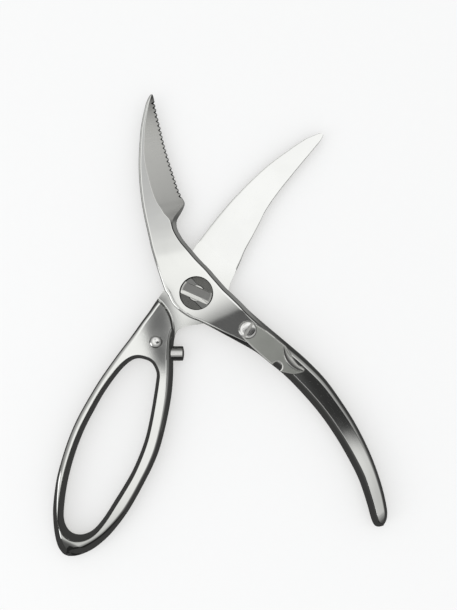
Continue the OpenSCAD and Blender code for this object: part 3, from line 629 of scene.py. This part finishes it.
def along_x(profile, start_x, y, z, around=72):
    """A lathe lying along X: each row of the profile is a radius and how far left of start_x it lies."""
    profile = np.asarray(profile, float)
    a = np.linspace(0, 2 * np.pi, around, endpoint=False)
    r, far = profile[:, :1], profile[:, 1:2]
    rings = np.stack([start_x - far + 0 * a, y + r * np.cos(a), z + r * np.sin(a)], -1)
    return skin(rings, grain_around=True)


plunger_low, plunger_high = box_mm("buffer_plunger")
plunger_r = (plunger_high[2] - plunger_low[2]) / 2
plunger_y, plunger_z = (plunger_low[1] + plunger_high[1]) / 2, (plunger_low[2] + plunger_high[2]) / 2
bore_r, bore_end = plunger_r + 0.05, plunger_high[0] - plunger_low[0] + 2
bore = make("tool", along_x([[0.01, -8], [bore_r, -8], [bore_r, bore_end], [0.01, bore_end]],
                            plunger_high[0], plunger_y, plunger_z))
pin_low, pin_high = box_mm("buffer_keeper_pin")
pin_at = (pin_low + pin_high)[:2] / 2
pin_hole = make("tool", turned_piece(
    [[0.01, -1], [1.2, -1], [0.79, 0.25], [0.79, 4], [0.01, 4]], pin_at, 40))
carve(rear, loop_tool, over, rivet_seat, catch_seat, bore, pin_hole)
print("finger loop", np.ptp(turned(loop_rim, -REAR_HANDLE), axis=0).round(1), "mm")

# %% [markdown]
# ## The pivot stud
# The stud is riveted into the rear half and ends in a bar, the T of the take-apart joint. Its journal
# is wider than the bar, so a little of it shows on both sides. The bar's outline is a disc cut to a
# strip. In polar form that is the smaller of two radii, and a high power mean of them rounds the
# corners where they meet. The long lower side has a wide bright bevel that leads it into the slot.

# %% Pivot stud
stud_top = box_mm("pivot_stud")[1][2]
a = np.linspace(0, 2 * np.pi, 200, endpoint=False) + 0.01


def strip_of_disc(radius, up, down, power=36):
    """r = (R^-p + (h / |sin a|)^-p)^(-1/p), where h is the half width on that side."""
    half = np.where(np.sin(a) > 0, up, down)
    r = 1 / ((1 / radius) ** power + (np.abs(np.sin(a)) / half) ** power) ** (1 / power)
    return turned(np.column_stack([r * np.cos(a), r * np.sin(a)]), HEAD_TURN)


head_levels = [[7.1, 7.7, 3.05, 3.05], [7.25, 7.9, 3.2, 3.2], [8.3, 7.95, 3.2, 3.2],
               [9.26, 7.95, 3.2, 3.2], [9.31, 7.9, 3.12, 3.2], [9.35, 7.75, 2.9, 3.1],
               [stud_top - 0.03, 7.0, 1.2, 2.86], [stud_top, 6.94, 1.08, 2.8]]
head = skin(stack([strip_of_disc(*sizes) for _, *sizes in head_levels], [z for z, *_ in head_levels]),
            finish=np.repeat([[0]] * 6 + [[1]], len(a), 1))
body = turned_piece([[0.01, 0], [5.1, 0], [5.18, 0.06], [3.3, 1.9], [3.3, 4.95], [3.95, 4.95], [4, 5],
                     [4, 7.2], [3.9, 7.35], [0.01, 7.35]], (0, 0))
stud = make("pivot_stud_steel", head, body)
print("stud's bar", round(2 * head_levels[2][1], 2), "x", round(2 * head_levels[2][2], 2), "mm")

# %% [markdown]
# ## The latch
# A pressed plate that swings on its screw. Its notch hooks round the catch, and a raised crescent
# gives the thumb a hold: steep outside, hollow inside. The plate is its outline stacked six times,
# the last ones drawn in for the bright chamfer. The crescent is a profile swept round an arc, lower
# and narrower towards both horns.

# %% Latch plate and thumb rib
LATCH_DIR, reach = -51.3, 23.1
plate_bottom = box_mm("latch_lever")[0][2]
plate_top = plate_bottom + 2
drawn_out = reach - 22.6
outline = np.array([
    [-4.6, -.6], [-3.4, -3.2], [-.6, -4.4], [6.6, -3.9], [13.2, -2.8], [19.6, -1.6], [24.9, -.6],
    [28, 1.4], [30.6, 3.8], [32.2, 6.4], [32.8, 8.6], [32.3, 9.7], [30.8, 9.6], [28.7, 8.7],
    [24.6, 8.7], [21.2, 9.4], [17.8, 9.7], [15.8, 9.4], [11.3, 8.4], [5.3, 6.8], [.8, 5.2],
    [-2.6, 3.8], [-4.3, 1.6]])
outline[:, 0] += np.where(outline[:, 0] > 10, drawn_out, 0)
outline = curve_through(outline, 8, closed=True)


def on_lever(points):
    """From the lever's own frame, with its screw at the start, to where it lies on the handle."""
    return turned(points, LATCH_DIR) + screw_at


plate = prism(on_lever(outline), [plate_bottom, plate_bottom + 0.12, plate_top - 0.22, plate_top - 0.16,
                                  plate_top - 0.02, plate_top], [-0.12, 0, 0, -0.06, -0.66, -0.76],
              finish=np.repeat([[0], [0], [1], [1], [0]], len(outline), 1))
s = np.linspace(0, 1, 72)[:, None]
angle = np.radians(219 + 104 * s)
taper = np.sin(np.pi * np.clip(s, 0.012, 0.988)) ** 0.55
rib_out = 10.1
rib_in = 6.7 + 2.6 * np.abs(2 * s - 1) ** 1.5
share = np.array([0, 0, .02, .06, .11, .17, .24, .34, .46, .6, .75, .9, 1, 1])[None, :]
lift = np.array([-.3, .8, 1.16, 1.38, 1.49, 1.5, 1.38, 1.08, .74, .46, .26, .13, .06, -.3])[None, :]
radius = rib_out - (rib_out - rib_in) * share
rib_high = np.where(lift > 0, lift * taper, lift)
rib_xy = np.stack([24.6 + drawn_out + radius * np.cos(angle), 14.9 + radius * np.sin(angle)], -1)
rib = skin(np.concatenate([on_lever(rib_xy), (plate_top + rib_high)[..., None]], -1), finish=1)
latch = make("latch_lever_steel", plate)
notch_r = 2.45
a = np.linspace(0, np.pi, 40)
hook = np.vstack([[[notch_r, -9], [notch_r, -4]],
                  np.column_stack([notch_r * np.cos(a), notch_r * np.sin(a)]),
                  [[-notch_r, -4], [-notch_r, -9]]]) + [reach, 0]
hook_tool = make("tool", prism(on_lever(hook), [plate_bottom - 1, plate_bottom - 0.1, plate_bottom + 0.15,
                                                plate_top - 0.14, plate_top, plate_top + 0.4],
                               [0.25, 0.25, 0, 0, 0.55, 2.1], finish=1))
hole_tool = make("tool", turned_piece([[0.01, 9], [2.55, 9], [2.55, 13], [0.01, 13]], screw_at, 64))
carve(latch, hole_tool, hook_tool)
carve(latch, make("tool", rib), operation="UNION")
print("latch plate top", round(plate_top, 2), "mm, rib top", round(plate_top + lift.max(), 2))

# %% [markdown]
# ## Turned pieces
# The latch screw, its washer, the catch, the buffer and its pin all come off a lathe, so each is one
# profile turned about its axis. Polished turned steel has very fine lines running round it, which the
# "grain" map already follows. First come the screw, whose slot is milled across its shallow dome, and
# the flat washer that the latch turns on.

# %% Latch screw and washer
screw_low, screw_high = box_mm("latch_screw")
head_bottom, head_top = screw_high[2] - 1.1, screw_high[2]
head_r = (screw_high[0] - screw_low[0]) / 2
screw = make("latch_screw_steel", turned_piece(
    [[0.01, screw_low[2]], [1.7, screw_low[2]], [2, screw_low[2] + 0.3], [2, 9.5], [2.5, 9.52],
     [2.5, head_bottom], [head_r - 0.15, head_bottom], [head_r, head_bottom + 0.12],
     [head_r, head_top - 0.52], [head_r - 0.06, head_top - 0.4], [head_r - 0.22, head_top - 0.28],
     [head_r - 0.55, head_top - 0.17],
     [head_r - 1.2, head_top - 0.08], [head_r - 2.2, head_top - 0.02], [0.3, head_top]], screw_at))
slot_wall = np.array([[-0.65, -0.6], [0.65, -0.6], [0.65, -0.1], [0.8, 0.06], [0.8, 0.6], [-0.8, 0.6],
                      [-0.8, 0.06], [-0.65, -0.1]])
slot_end = np.linspace(-6, 6, 2)[:, None]
slot_rings = np.concatenate([
    turned(np.stack([slot_end + 0 * slot_wall[:, 0], 0 * slot_end + slot_wall[:, 0]], -1), 58) + screw_at,
    (head_top + 0 * slot_end + slot_wall[:, 1])[..., None]], -1)
carve(screw, make("tool", skin(slot_rings, finish=1)))
washer_low, washer_high = box_mm("latch_washer")
washer_r = (washer_high[0] - washer_low[0]) / 2
a = np.linspace(0, 2 * np.pi, 96, endpoint=False)[:, None]
wall = np.array([[2.6, .08], [2.68, 0], [washer_r - .1, 0], [washer_r, .1], [washer_r, .4],
                 [washer_r - .1, .5], [2.68, .5], [2.6, .42]])
washer = make("latch_washer_steel", skin(np.stack([
    screw_at[0] + wall[:, 0] * np.cos(a), screw_at[1] + wall[:, 0] * np.sin(a),
    washer_low[2] + wall[:, 1] + 0 * a], -1), closed_long=True))
print("screw head", round(2 * head_r, 2), "mm across, washer", round(2 * washer_r, 2))

# %% [markdown]
# The catch is a mushroom: a neck for the latch's notch, then a round dome so that nothing snags. The
# buffer is a hollow pin with a faintly domed end. A coil spring sits inside it, and a small pin in its
# groove keeps it from flying out. The spring is a circle of wire carried along a helix.

# %% Catch, buffer, spring and pin
catch_top = box_mm("catch_stud")[1][2]
dome = np.linspace(0, 1, 14)[:-1]
catch = make("catch_stud_steel", turned_piece(
    [[0.01, 5.05], [1.6, 5.05], [1.75, 5.2], [1.75, 9.9], [2.2, 9.95], [2.2, 12.1], [2.35, 12.25],
     [2.95, 12.25], [3.07, 12.33], [3.1, 12.45], [3.1, 12.55],
     *np.column_stack([3.1 * np.cos(np.pi / 2 * dome),
                       12.6 + (catch_top - 12.6) * np.sin(np.pi / 2 * dome)])],
    catch_at))
crown = np.linspace(0, 1, 12) * (plunger_r - 0.2)
length = plunger_high[0] - plunger_low[0]
plunger = make("buffer_plunger_steel", along_x(
    [[0.01, 0], *np.column_stack([crown, 12 - np.sqrt(144 - crown**2)])[1:], [plunger_r - 0.05, 0.66],
     [plunger_r, 0.82], [plunger_r, length - 0.25], [plunger_r - 0.2, length], [1.8, length],
     [1.7, length - 0.1], [1.7, length - 4.5], [0.01, length - 4.5]],
    plunger_high[0], plunger_y, plunger_z, 96))
groove = np.array([[-0.9, -0.9], [2.5, -0.9], [2.5, 0.9], [-0.9, 0.9]]) + pin_at
carve(plunger, make("tool", prism(groove, [0, pin_high[2] + 0.1], [0, 0])))
spring_low, spring_high = box_mm("buffer_spring")
wire, coils = 0.25, 5
t = np.linspace(0, 1, coils * 28 + 1)[:, None]
spin = 2 * np.pi * coils * t
k = np.linspace(0, 2 * np.pi, 12, endpoint=False)[None, :]
coil_r = (spring_high[2] - spring_low[2]) / 2 - wire
spring_x = spring_high[0] - wire - (spring_high[0] - spring_low[0] - 2 * wire) * t
around = coil_r + wire * np.cos(k)
spring = make("buffer_spring_wire", skin(np.stack([
    spring_x + wire * np.sin(k), plunger_y + around * np.cos(spin),
    plunger_z + around * np.sin(spin)], -1)))
pin = make("buffer_keeper_pin_steel", turned_piece(
    [[0.01, pin_low[2]], [0.6, pin_low[2]], [0.75, pin_low[2] + 0.15], [0.75, pin_high[2] - 0.1],
     [0.65, pin_high[2]], [0.01, pin_high[2]]], pin_at, 40))
print("plunger", round(length, 2), "mm long,", round(2 * plunger_r, 2), "across; spring coils", coils)

# %% [markdown]
# ## Steel finishes
# All the metal is one stainless steel, but each surface was finished in another way. Three effects are
# shared, so each is a node group: long polishing lines that follow the grain map, broad cloudy
# patches where the polish changes a little, and the few hair-fine scratches that use leaves. A group
# puts out only masks. Each material then decides how much they change its colour, gloss and bump.

# %% Node helpers and shared effects
def node(tree, kind, links=(), **settings):
    """Adds one node, sets its options and plain inputs, and links other sockets into it."""
    made = tree.nodes.new(kind)
    for name, value in settings.items():
        if name in made.bl_rna.properties:
            setattr(made, name, value)
        else:
            made.inputs[name.replace("_", " ")].default_value = value
    for name, socket in links:
        tree.links.new(socket, made.inputs[name])
    return made


def maths(tree, operation, *values, use_clamp=False):
    """A Math node's output: each value is a number, or a socket that is linked in."""
    made = tree.nodes.new("ShaderNodeMath")
    made.operation, made.use_clamp = operation, use_clamp
    for n, value in enumerate(values):
        if isinstance(value, bpy.types.NodeSocket):
            tree.links.new(value, made.inputs[n])
        else:
            made.inputs[n].default_value = value
    return made.outputs[0]


def new_material(name):
    """A material with an empty node tree."""
    made = bpy.data.materials.new(name)
    made.use_nodes = True
    made.node_tree.nodes.clear()
    return made, made.node_tree


def new_group(name, inputs, output):
    """A group with named inputs, each with its starting value, and one named output."""
    group = bpy.data.node_groups.new(name, "ShaderNodeTree")
    for label, kind, value in inputs:
        socket = group.interface.new_socket(label, in_out="INPUT", socket_type=kind)
        if value is not None:
            socket.default_value = value
    group.interface.new_socket(output, in_out="OUTPUT", socket_type="NodeSocketFloat")
    return group, group.nodes.new("NodeGroupInput"), group.nodes.new("NodeGroupOutput")


lines, given, out = new_group("polishing lines", [
    ("Grain", "NodeSocketVector", None), ("Along", "NodeSocketFloat", 60.0),
    ("Across", "NodeSocketFloat", 5000.0)], "Lines")
stretch = node(lines, "ShaderNodeCombineXYZ", [
    ("X", given.outputs["Along"]), ("Y", given.outputs["Across"]), ("Z", given.outputs["Across"])])
drawn = node(lines, "ShaderNodeVectorMath", [(0, given.outputs["Grain"]), (1, stretch.outputs[0])],
             operation="MULTIPLY")
noise = node(lines, "ShaderNodeTexNoise", [("Vector", drawn.outputs[0])],
             Scale=1.0, Detail=4.0, Roughness=0.62)
lines.links.new(noise.outputs[0], out.inputs["Lines"])

clouds, given, out = new_group("polish clouds", [
    ("Place", "NodeSocketVector", None), ("Per Metre", "NodeSocketFloat", 55.0)], "Clouds")
noise = node(clouds, "ShaderNodeTexNoise", [
    ("Vector", given.outputs["Place"]), ("Scale", given.outputs["Per Metre"])],
             Detail=3.0, Roughness=0.55, Distortion=0.4)
ease = node(clouds, "ShaderNodeMapRange", [("Value", noise.outputs[0])], interpolation_type="SMOOTHSTEP",
            From_Min=0.3, From_Max=0.7)
clouds.links.new(ease.outputs[0], out.inputs["Clouds"])

marks, given, out = new_group("hairline marks", [
    ("Place", "NodeSocketVector", None), ("Per Metre", "NodeSocketFloat", 90.0),
    ("Width", "NodeSocketFloat", 0.006)], "Marks")
strokes = []
for tilt, long in ((0.35, 0.16), (-0.9, 0.2), (1.9, 0.24)):
    lay = node(marks, "ShaderNodeMapping", [("Vector", given.outputs["Place"])], Rotation=(0.3, 0.2, tilt),
               Scale=(long, 1.0, 1.0))
    noise = node(marks, "ShaderNodeTexNoise", [
        ("Vector", lay.outputs[0]), ("Scale", given.outputs["Per Metre"])],
                 Detail=1.5, Roughness=0.5)
    line = maths(marks, "ABSOLUTE", maths(marks, "SUBTRACT", noise.outputs[0], 0.5))
    thin = node(marks, "ShaderNodeMapRange", [("Value", line), ("From Max", given.outputs["Width"])],
                From_Min=0.0, To_Min=1.0, To_Max=0.0)
    gate = node(marks, "ShaderNodeTexNoise", [("Vector", given.outputs["Place"])],
                Scale=160.0 + 60 * tilt, Detail=1.0)
    ajar = node(marks, "ShaderNodeMapRange", [("Value", gate.outputs[0])], From_Min=0.52, From_Max=0.6)
    strokes.append(maths(marks, "MULTIPLY", thin.outputs[0], ajar.outputs[0]))
every = maths(marks, "MAXIMUM", maths(marks, "MAXIMUM", strokes[0], strokes[1]), strokes[2])
marks.links.new(every, out.inputs["Marks"])
print("node groups", [g.name for g in bpy.data.node_groups])

# %% [markdown]
# ## One steel, many finishes
# Each finish mixes a darker and a lighter steel colour by the lines and the clouds, lets both change
# the roughness a little, and gives the lines and scratches a bump a few thousandths of a millimetre
# high. Steel is a metal, so Metallic is one and its colour is the colour of what it mirrors.

# %% Steel materials
def steel(name, dark, light, rough, line_rough=0.06, cloud_rough=0.04, along=60, across=5000,
          bump=0.004, mark=0.5, painted_shade_r=0.0):
    """A finish in steel. rough is the middle roughness, along and across are how many lines a metre
    holds each way, bump is the line height in millimetres, mark is a scratch's depth as a share of
    it, and the last argument is the radius round the pivot, in millimetres, inside which the colour is
    darkened as painted shade."""
    mat, tree = new_material(name)
    grain = node(tree, "ShaderNodeUVMap", uv_map="grain").outputs[0]
    place = node(tree, "ShaderNodeTexCoord").outputs["Object"]
    line = node(tree, "ShaderNodeGroup", [("Grain", grain)], node_tree=lines,
                Along=float(along), Across=float(across)).outputs[0]
    cloud = node(tree, "ShaderNodeGroup", [("Place", place)], node_tree=clouds, Per_Metre=55.0).outputs[0]
    scratch = node(tree, "ShaderNodeGroup", [("Place", place)], node_tree=marks, Width=0.006).outputs[0]
    half = maths(tree, "MULTIPLY", maths(tree, "ADD", line, cloud), 0.5)
    colour = node(tree, "ShaderNodeMix", [("Factor", half)], data_type="RGBA")
    colour.inputs["A"].default_value, colour.inputs["B"].default_value = (*dark, 1), (*light, 1)
    tint = colour.outputs["Result"]
    # Inside the given radius round the pivot the colour falls to 0.22 of itself: painted shade where the
    # rear half lies under the front half and shows through the keyhole slot.
    if painted_shade_r:
        flat = node(tree, "ShaderNodeVectorMath", [(0, place)], operation="MULTIPLY")
        flat.inputs[1].default_value = (1, 1, 0)
        far = node(tree, "ShaderNodeVectorMath", [(0, flat.outputs[0])], operation="LENGTH")
        unshaded_share = node(tree, "ShaderNodeMapRange", [("Value", far.outputs["Value"])],
                     From_Min=(painted_shade_r - 1) * MM, From_Max=painted_shade_r * MM, To_Min=0.22, To_Max=1.0)
        tint = node(tree, "ShaderNodeVectorMath", [(0, tint), ("Scale", unshaded_share.outputs[0])],
                    operation="SCALE").outputs["Vector"]
    by_line = node(tree, "ShaderNodeMapRange", [("Value", line)], From_Min=0.25, From_Max=0.75,
                   To_Min=rough - line_rough, To_Max=rough + line_rough).outputs[0]
    by_cloud = node(tree, "ShaderNodeMapRange", [("Value", cloud)], To_Min=-cloud_rough,
                    To_Max=cloud_rough).outputs[0]
    height = maths(tree, "ADD", line, maths(tree, "MULTIPLY", scratch, -mark))
    relief = node(tree, "ShaderNodeBump", [("Height", height)], Strength=1.0, Distance=bump * MM)
    shader = node(tree, "ShaderNodeBsdfPrincipled", [
        ("Base Color", tint), ("Roughness", maths(tree, "ADD", by_line, by_cloud, use_clamp=True)),
        ("Normal", relief.outputs[0])], Metallic=1.0)
    node(tree, "ShaderNodeOutputMaterial", [("Surface", shader.outputs[0])], is_active_output=True)
    return mat


FORGED = {"dark": (0.68, 0.685, 0.67), "light": (0.74, 0.745, 0.73), "rough": 0.055, "line_rough": 0.01,
          "cloud_rough": 0.01, "bump": 0.0004, "mark": 1.0}
forged = steel("satin polished steel", **FORGED)
# The rear half's steel, with painted shade within 9 mm of the pivot, under the front half and in the
# keyhole slot.
forged_rear_shaded = steel("satin polished steel, rear", **FORGED, painted_shade_r=9)
ground = steel("ground blade face", (0.5, 0.5, 0.485), (0.6, 0.6, 0.585), 0.32, along=6500, across=40,
               bump=0.003, mark=0.3)
# Recess and keyhole walls: the roughness is the machined finish, the colour is painted far darker than
# steel as shade in the recess.
machined_shaded = steel("machined recess", (0.09, 0.09, 0.086), (0.2, 0.2, 0.19), 0.28, across=3500, bump=0.003)
# The gullet walls are coloured nearly black: painted shade in the teeth.
filed_and_shaded = steel("filed gullet", (0.05, 0.05, 0.048), (0.1, 0.1, 0.095), 0.45, across=3000)
matte = steel("blasted stud face", (0.24, 0.24, 0.235), (0.36, 0.36, 0.35), 0.5, along=2500,
              across=2500, bump=0.01)
bright = steel("ground stud", (0.62, 0.62, 0.6), (0.74, 0.74, 0.72), 0.2, across=4200)
pressed = steel("tumbled latch steel", (0.37, 0.38, 0.355), (0.45, 0.46, 0.435), 0.31, line_rough=0.015,
                cloud_rough=0.015, along=300, across=1500, bump=0.0006, mark=1.5)
mirror = steel("polished turned steel", (0.64, 0.64, 0.63), (0.76, 0.76, 0.75), 0.12, line_rough=0.03,
               cloud_rough=0.02, across=5200, bump=0.0015, mark=1.0)
slot_steel = steel("milled slot", (0.42, 0.42, 0.41), (0.55, 0.55, 0.53), 0.34, across=3000)
spring_steel = steel("spring steel", (0.34, 0.34, 0.35), (0.46, 0.46, 0.47), 0.3, across=4000)
print("finishes", [m.name for m in bpy.data.materials if m.use_nodes])

# %% [markdown]
# ## Each piece on its body
# Every new piece takes the place of one CAD solid and rides on that solid's body, so it moves with the
# joint. The spring gets a mesh of its own.

# %% Put every piece on its body
finish_piece(front, "open_half", "front_half", "front_steel", forged, ground, machined_shaded, filed_and_shaded)
finish_piece(rear, "loop_half", "rear_half", "rear_steel", forged_rear_shaded, ground)
finish_piece(stud, "loop_half", "pivot_stud", "stud_steel", bright, matte)
finish_piece(latch, "latch", "latch_lever", "latch_steel", pressed, bright)
finish_piece(screw, "open_half", "latch_screw", "polished_steel", mirror, slot_steel)
finish_piece(washer, "open_half", "latch_washer", "spring_steel", spring_steel)
finish_piece(catch, "loop_half", "catch_stud", "polished_steel", mirror)
finish_piece(plunger, "buffer", "buffer_plunger", "polished_steel", mirror)
finish_piece(spring, "loop_half", "buffer_spring", "spring_steel", spring_steel)
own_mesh(spring)
finish_piece(pin, "loop_half", "buffer_keeper_pin", "polished_steel", mirror)

# %% [markdown]
# ## The paper
# The shears lie on white paper. The camera sees it a little brighter than the light alone would make
# it, so that it stays white, and it keeps the soft shadow of the steel.

# %% Floor
def stage_object(name, verts, faces, material):
    """A flat thing that belongs to the studio and not to the object."""
    mesh = bpy.data.meshes.new(name)
    mesh.from_pydata(verts, [], faces)
    mesh.materials.append(material)
    thing = bpy.data.objects.new(name, mesh)
    bpy.context.scene.collection.objects.link(thing)
    return thing


paper, tree = new_material("white paper")
place = node(tree, "ShaderNodeTexCoord")
fibre = node(tree, "ShaderNodeTexNoise", [("Vector", place.outputs["Object"])], Scale=220.0, Detail=3.0)
shade = node(tree, "ShaderNodeMix", [("Factor", fibre.outputs[0])], data_type="RGBA")
shade.inputs["A"].default_value = (0.9, 0.92, 0.95, 1)
shade.inputs["B"].default_value = (0.92, 0.94, 0.97, 1)
diffuse = node(tree, "ShaderNodeBsdfPrincipled", [("Base Color", shade.outputs["Result"])], Roughness=0.9)
diffuse.inputs["Specular IOR Level"].default_value = 0.0
plain = node(tree, "ShaderNodeEmission", Color=(1.0, 0.985, 0.95, 1), Strength=1.0)
seen = node(tree, "ShaderNodeLightPath")
share = maths(tree, "MULTIPLY", seen.outputs["Is Camera Ray"], 0.45)
mixed = node(tree, "ShaderNodeMixShader", [("Fac", share), (1, diffuse.outputs[0]), (2, plain.outputs[0])])
node(tree, "ShaderNodeOutputMaterial", [("Surface", mixed.outputs[0])])
paper.cycles.emission_sampling = "NONE"
floor_z = float(cad_low[2]) - 0.05 * MM
side = 2.5
stage_object("paper", [(-side, -side, floor_z), (side, -side, floor_z), (side, side, floor_z),
                       (-side, side, floor_z)], [(0, 1, 2, 3)], paper)
print("paper", 2 * side, "m wide at z", round(floor_z / MM, 3), "mm")

# %% [markdown]
# ## The tent
# Polished steel has no colour of its own to show, only what stands round it. So a tent that only
# reflections can see stands over the table, bright overhead and dark towards the horizon. A flat face
# mirrors the bright top. A face that slopes by d degrees mirrors the tent at 90 - 2 d degrees up, so
# roundings and banks turn dark, and that draws the outline.

# %% Tent, seen only in reflections
def only_reflected(thing):
    """Hides a thing from every ray but the glossy ones."""
    thing.visible_camera = thing.visible_diffuse = thing.visible_shadow = False
    thing.visible_transmission = thing.visible_volume_scatter = False


def glow(name, stops):
    """An emission whose strength follows the height above the paper, as the sine of the angle up. The
    side towards the handles is a little darker."""
    mat, tree = new_material(name)
    place = node(tree, "ShaderNodeTexCoord")
    unit = node(tree, "ShaderNodeVectorMath", [(0, place.outputs["Object"])], operation="NORMALIZE")
    lean = node(tree, "ShaderNodeVectorMath", [(0, unit.outputs[0])], operation="DOT_PRODUCT")
    lean.inputs[1].default_value = (-0.06, 0.1, 1.0)
    ramp = node(tree, "ShaderNodeValToRGB", [("Fac", lean.outputs["Value"])])
    ramp.color_ramp.interpolation = "EASE"
    for n, (at, level) in enumerate(stops):
        stop = ramp.color_ramp.elements[n] if n < 2 else ramp.color_ramp.elements.new(at)
        stop.position, stop.color = at, (level, level, level * 0.985, 1)
    light = node(tree, "ShaderNodeEmission", [("Color", ramp.outputs[0])], Strength=1.15)
    node(tree, "ShaderNodeOutputMaterial", [("Surface", light.outputs[0])])
    mat.cycles.emission_sampling = "NONE"
    return mat


up = np.linspace(0, np.pi / 2 - 0.01, 24)[:, None]
turn = np.linspace(0, 2 * np.pi, 72, endpoint=False)[None, :]
tent_r = 1.3 / MM
tent = make("tent", skin(tent_r * np.stack(
    [np.cos(up) * np.cos(turn), np.cos(up) * np.sin(turn), np.sin(up) + 0 * turn], -1)))
tent.data.materials.clear()
tent.data.materials.append(glow("tent light", [
    (0.0, 0.05), (1.0, 1.05), (0.35, 0.1), (0.6, 0.24), (0.8, 0.4), (0.89, 0.62), (0.95, 1.0)]))
only_reflected(tent)
print("tent", 2 * tent_r * MM, "m across")

# %% [markdown]
# ## Cards
# Flat faces all mirror the same bright top, and would all look alike. In a studio, cards hung over the
# table give each of them its own tone, from nearly white on the rear blade to nearly black on the
# handle. Here one clear sheet hangs a metre up and each card is a patch of light painted on it: a
# polygon, blurred so that its edge falls off softly. A dark coat hangs on the handles' side.

# %% Soft cards and a dark coat
SHEET_STEP, SHEET_HEIGHT = 5.0, 1000
sheet_x, sheet_y = np.meshgrid(np.arange(-300, 800, SHEET_STEP), np.arange(-480, 460, SHEET_STEP))


def inside(corners):
    """1 inside a polygon and 0 outside: a point is inside when a ray to the right of it crosses an odd
    number of sides."""
    hit = np.zeros(sheet_x.shape, bool)
    for (ax, ay), (bx, by) in zip(corners, corners[1:] + corners[:1]):
        crosses = (ay > sheet_y) != (by > sheet_y)
        hit ^= crosses & (sheet_x < ax + (sheet_y - ay) * (bx - ax) / (by - ay + 1e-9))
    return hit.astype(float)


def blurred(mask, reach):
    """A Gaussian of the given reach in millimetres, first along the rows and then down the columns."""
    half = int(3 * reach / SHEET_STEP) + 1
    weights = bell(np.arange(-half, half + 1) * SHEET_STEP / reach)
    for axis in (0, 1):
        mask = np.apply_along_axis(np.convolve, axis, mask, weights, "same")
    return mask


cover, level = np.zeros(sheet_x.shape), np.zeros(sheet_x.shape)
for brightness, reach, corners in (
        (0.115, 14, [(-52, -45), (24, 0), (130, 30), (420, 60), (620, -60), (300, -170), (205, -215),
                     (60, -300), (-25, -170)]),
        (0.035, 24, [(95, -60), (230, -20), (420, 0), (420, -150), (205, -207), (105, -240)]),
        (0.55, 45, [(-220, 175), (-60, 165), (-30, 260), (-40, 440), (-220, 440)]),
        (1.12, 18, [(-32, 62), (45, 15), (150, 90), (215, 310), (120, 300), (0, 175)]),
        (0.16, 7, [(-106, 14), (-119, -38), (-95, -104), (-60, -116), (-66, -45), (-71, -20), (-76, -2),
                   (-82, 16)])):
    mask = blurred(inside(corners), reach)
    level = level * (1 - mask) + brightness * mask
    cover = cover * (1 - mask) + mask
rows, columns = sheet_x.shape
corner = np.arange(rows * columns).reshape(rows, columns)
quads = np.stack([corner[:-1, :-1], corner[:-1, 1:], corner[1:, 1:], corner[1:, :-1]], -1).reshape(-1, 4)
cards, tree = new_material("soft cards")
shown = node(tree, "ShaderNodeAttribute", attribute_name="cover")
lit = node(tree, "ShaderNodeAttribute", attribute_name="level")
light = node(tree, "ShaderNodeEmission", [("Strength", lit.outputs["Fac"])])
clear = node(tree, "ShaderNodeBsdfTransparent")
either = node(tree, "ShaderNodeMixShader", [
    ("Fac", shown.outputs["Fac"]), (1, clear.outputs[0]), (2, light.outputs[0])])
node(tree, "ShaderNodeOutputMaterial", [("Surface", either.outputs[0])])
cards.cycles.emission_sampling = "NONE"
sheet_points = np.stack([sheet_x, sheet_y, 0 * sheet_x + SHEET_HEIGHT], -1).reshape(-1, 3) * MM
sheet = stage_object("cards", sheet_points.tolist(), quads.tolist(), cards)
for name, values in (("cover", cover), ("level", 1.15 * level / np.maximum(cover, 1e-6))):
    sheet.data.attributes.new(name, "FLOAT", "POINT").data.foreach_set("value", values.ravel())
only_reflected(sheet)
coat = stage_object("dark coat", [(-0.55, -1.05, 0.01), (1.0, -1.05, 0.01), (1.0, -1.05, 0.95),
                                  (-0.55, -1.05, 0.95)], [(0, 1, 2, 3)],
                    glow("dark coat", [(0.0, 0.02), (1.0, 0.02)]))
only_reflected(coat)
print("cards on a sheet of", sheet_x.shape, "points")

# %% [markdown]
# ## Lamp, world and camera
# One soft lamp stands low at the handles' side, to the left, and puts a small highlight on every dome
# and rounding. The rest is an even white sky. The camera looks straight down from far enough that the
# shears keep their true outline.

# %% Lamp, world and camera
lamp_data = bpy.data.lights.new("soft lamp", "AREA")
lamp_data.shape, lamp_data.size, lamp_data.energy = "DISK", 0.5, 0.9
lamp = bpy.data.objects.new("soft lamp", lamp_data)
bpy.context.scene.collection.objects.link(lamp)
lamp.location = (-0.66, -0.35, 0.5)
lamp.rotation_euler = (-lamp.location).to_track_quat("-Z", "Y").to_euler()
world = bpy.data.worlds.new("even light")
bpy.context.scene.world = world
world.use_nodes = True
world.node_tree.nodes["Background"].inputs["Color"].default_value = (1.0, 1.0, 1.0, 1)
world.node_tree.nodes["Background"].inputs["Strength"].default_value = 0.95
world.cycles.sampling_method = "NONE"

camera_data = bpy.data.cameras.new("camera")
camera_data.lens = 54.6
camera_data.clip_start, camera_data.clip_end = 0.01, 20
camera = bpy.data.objects.new("camera", camera_data)
bpy.context.scene.collection.objects.link(camera)
half_view = math.atan(camera_data.sensor_width / 2 / camera_data.lens)
camera.location = (16 * MM, -5.9 * MM, 6.5 * MM + 0.1525 / math.tan(half_view))
camera.rotation_euler = (0, 0, 0)
bpy.context.scene.camera = camera
bpy.context.scene.view_settings.view_transform = "Standard"
print("camera height", round(camera.location.z, 3))
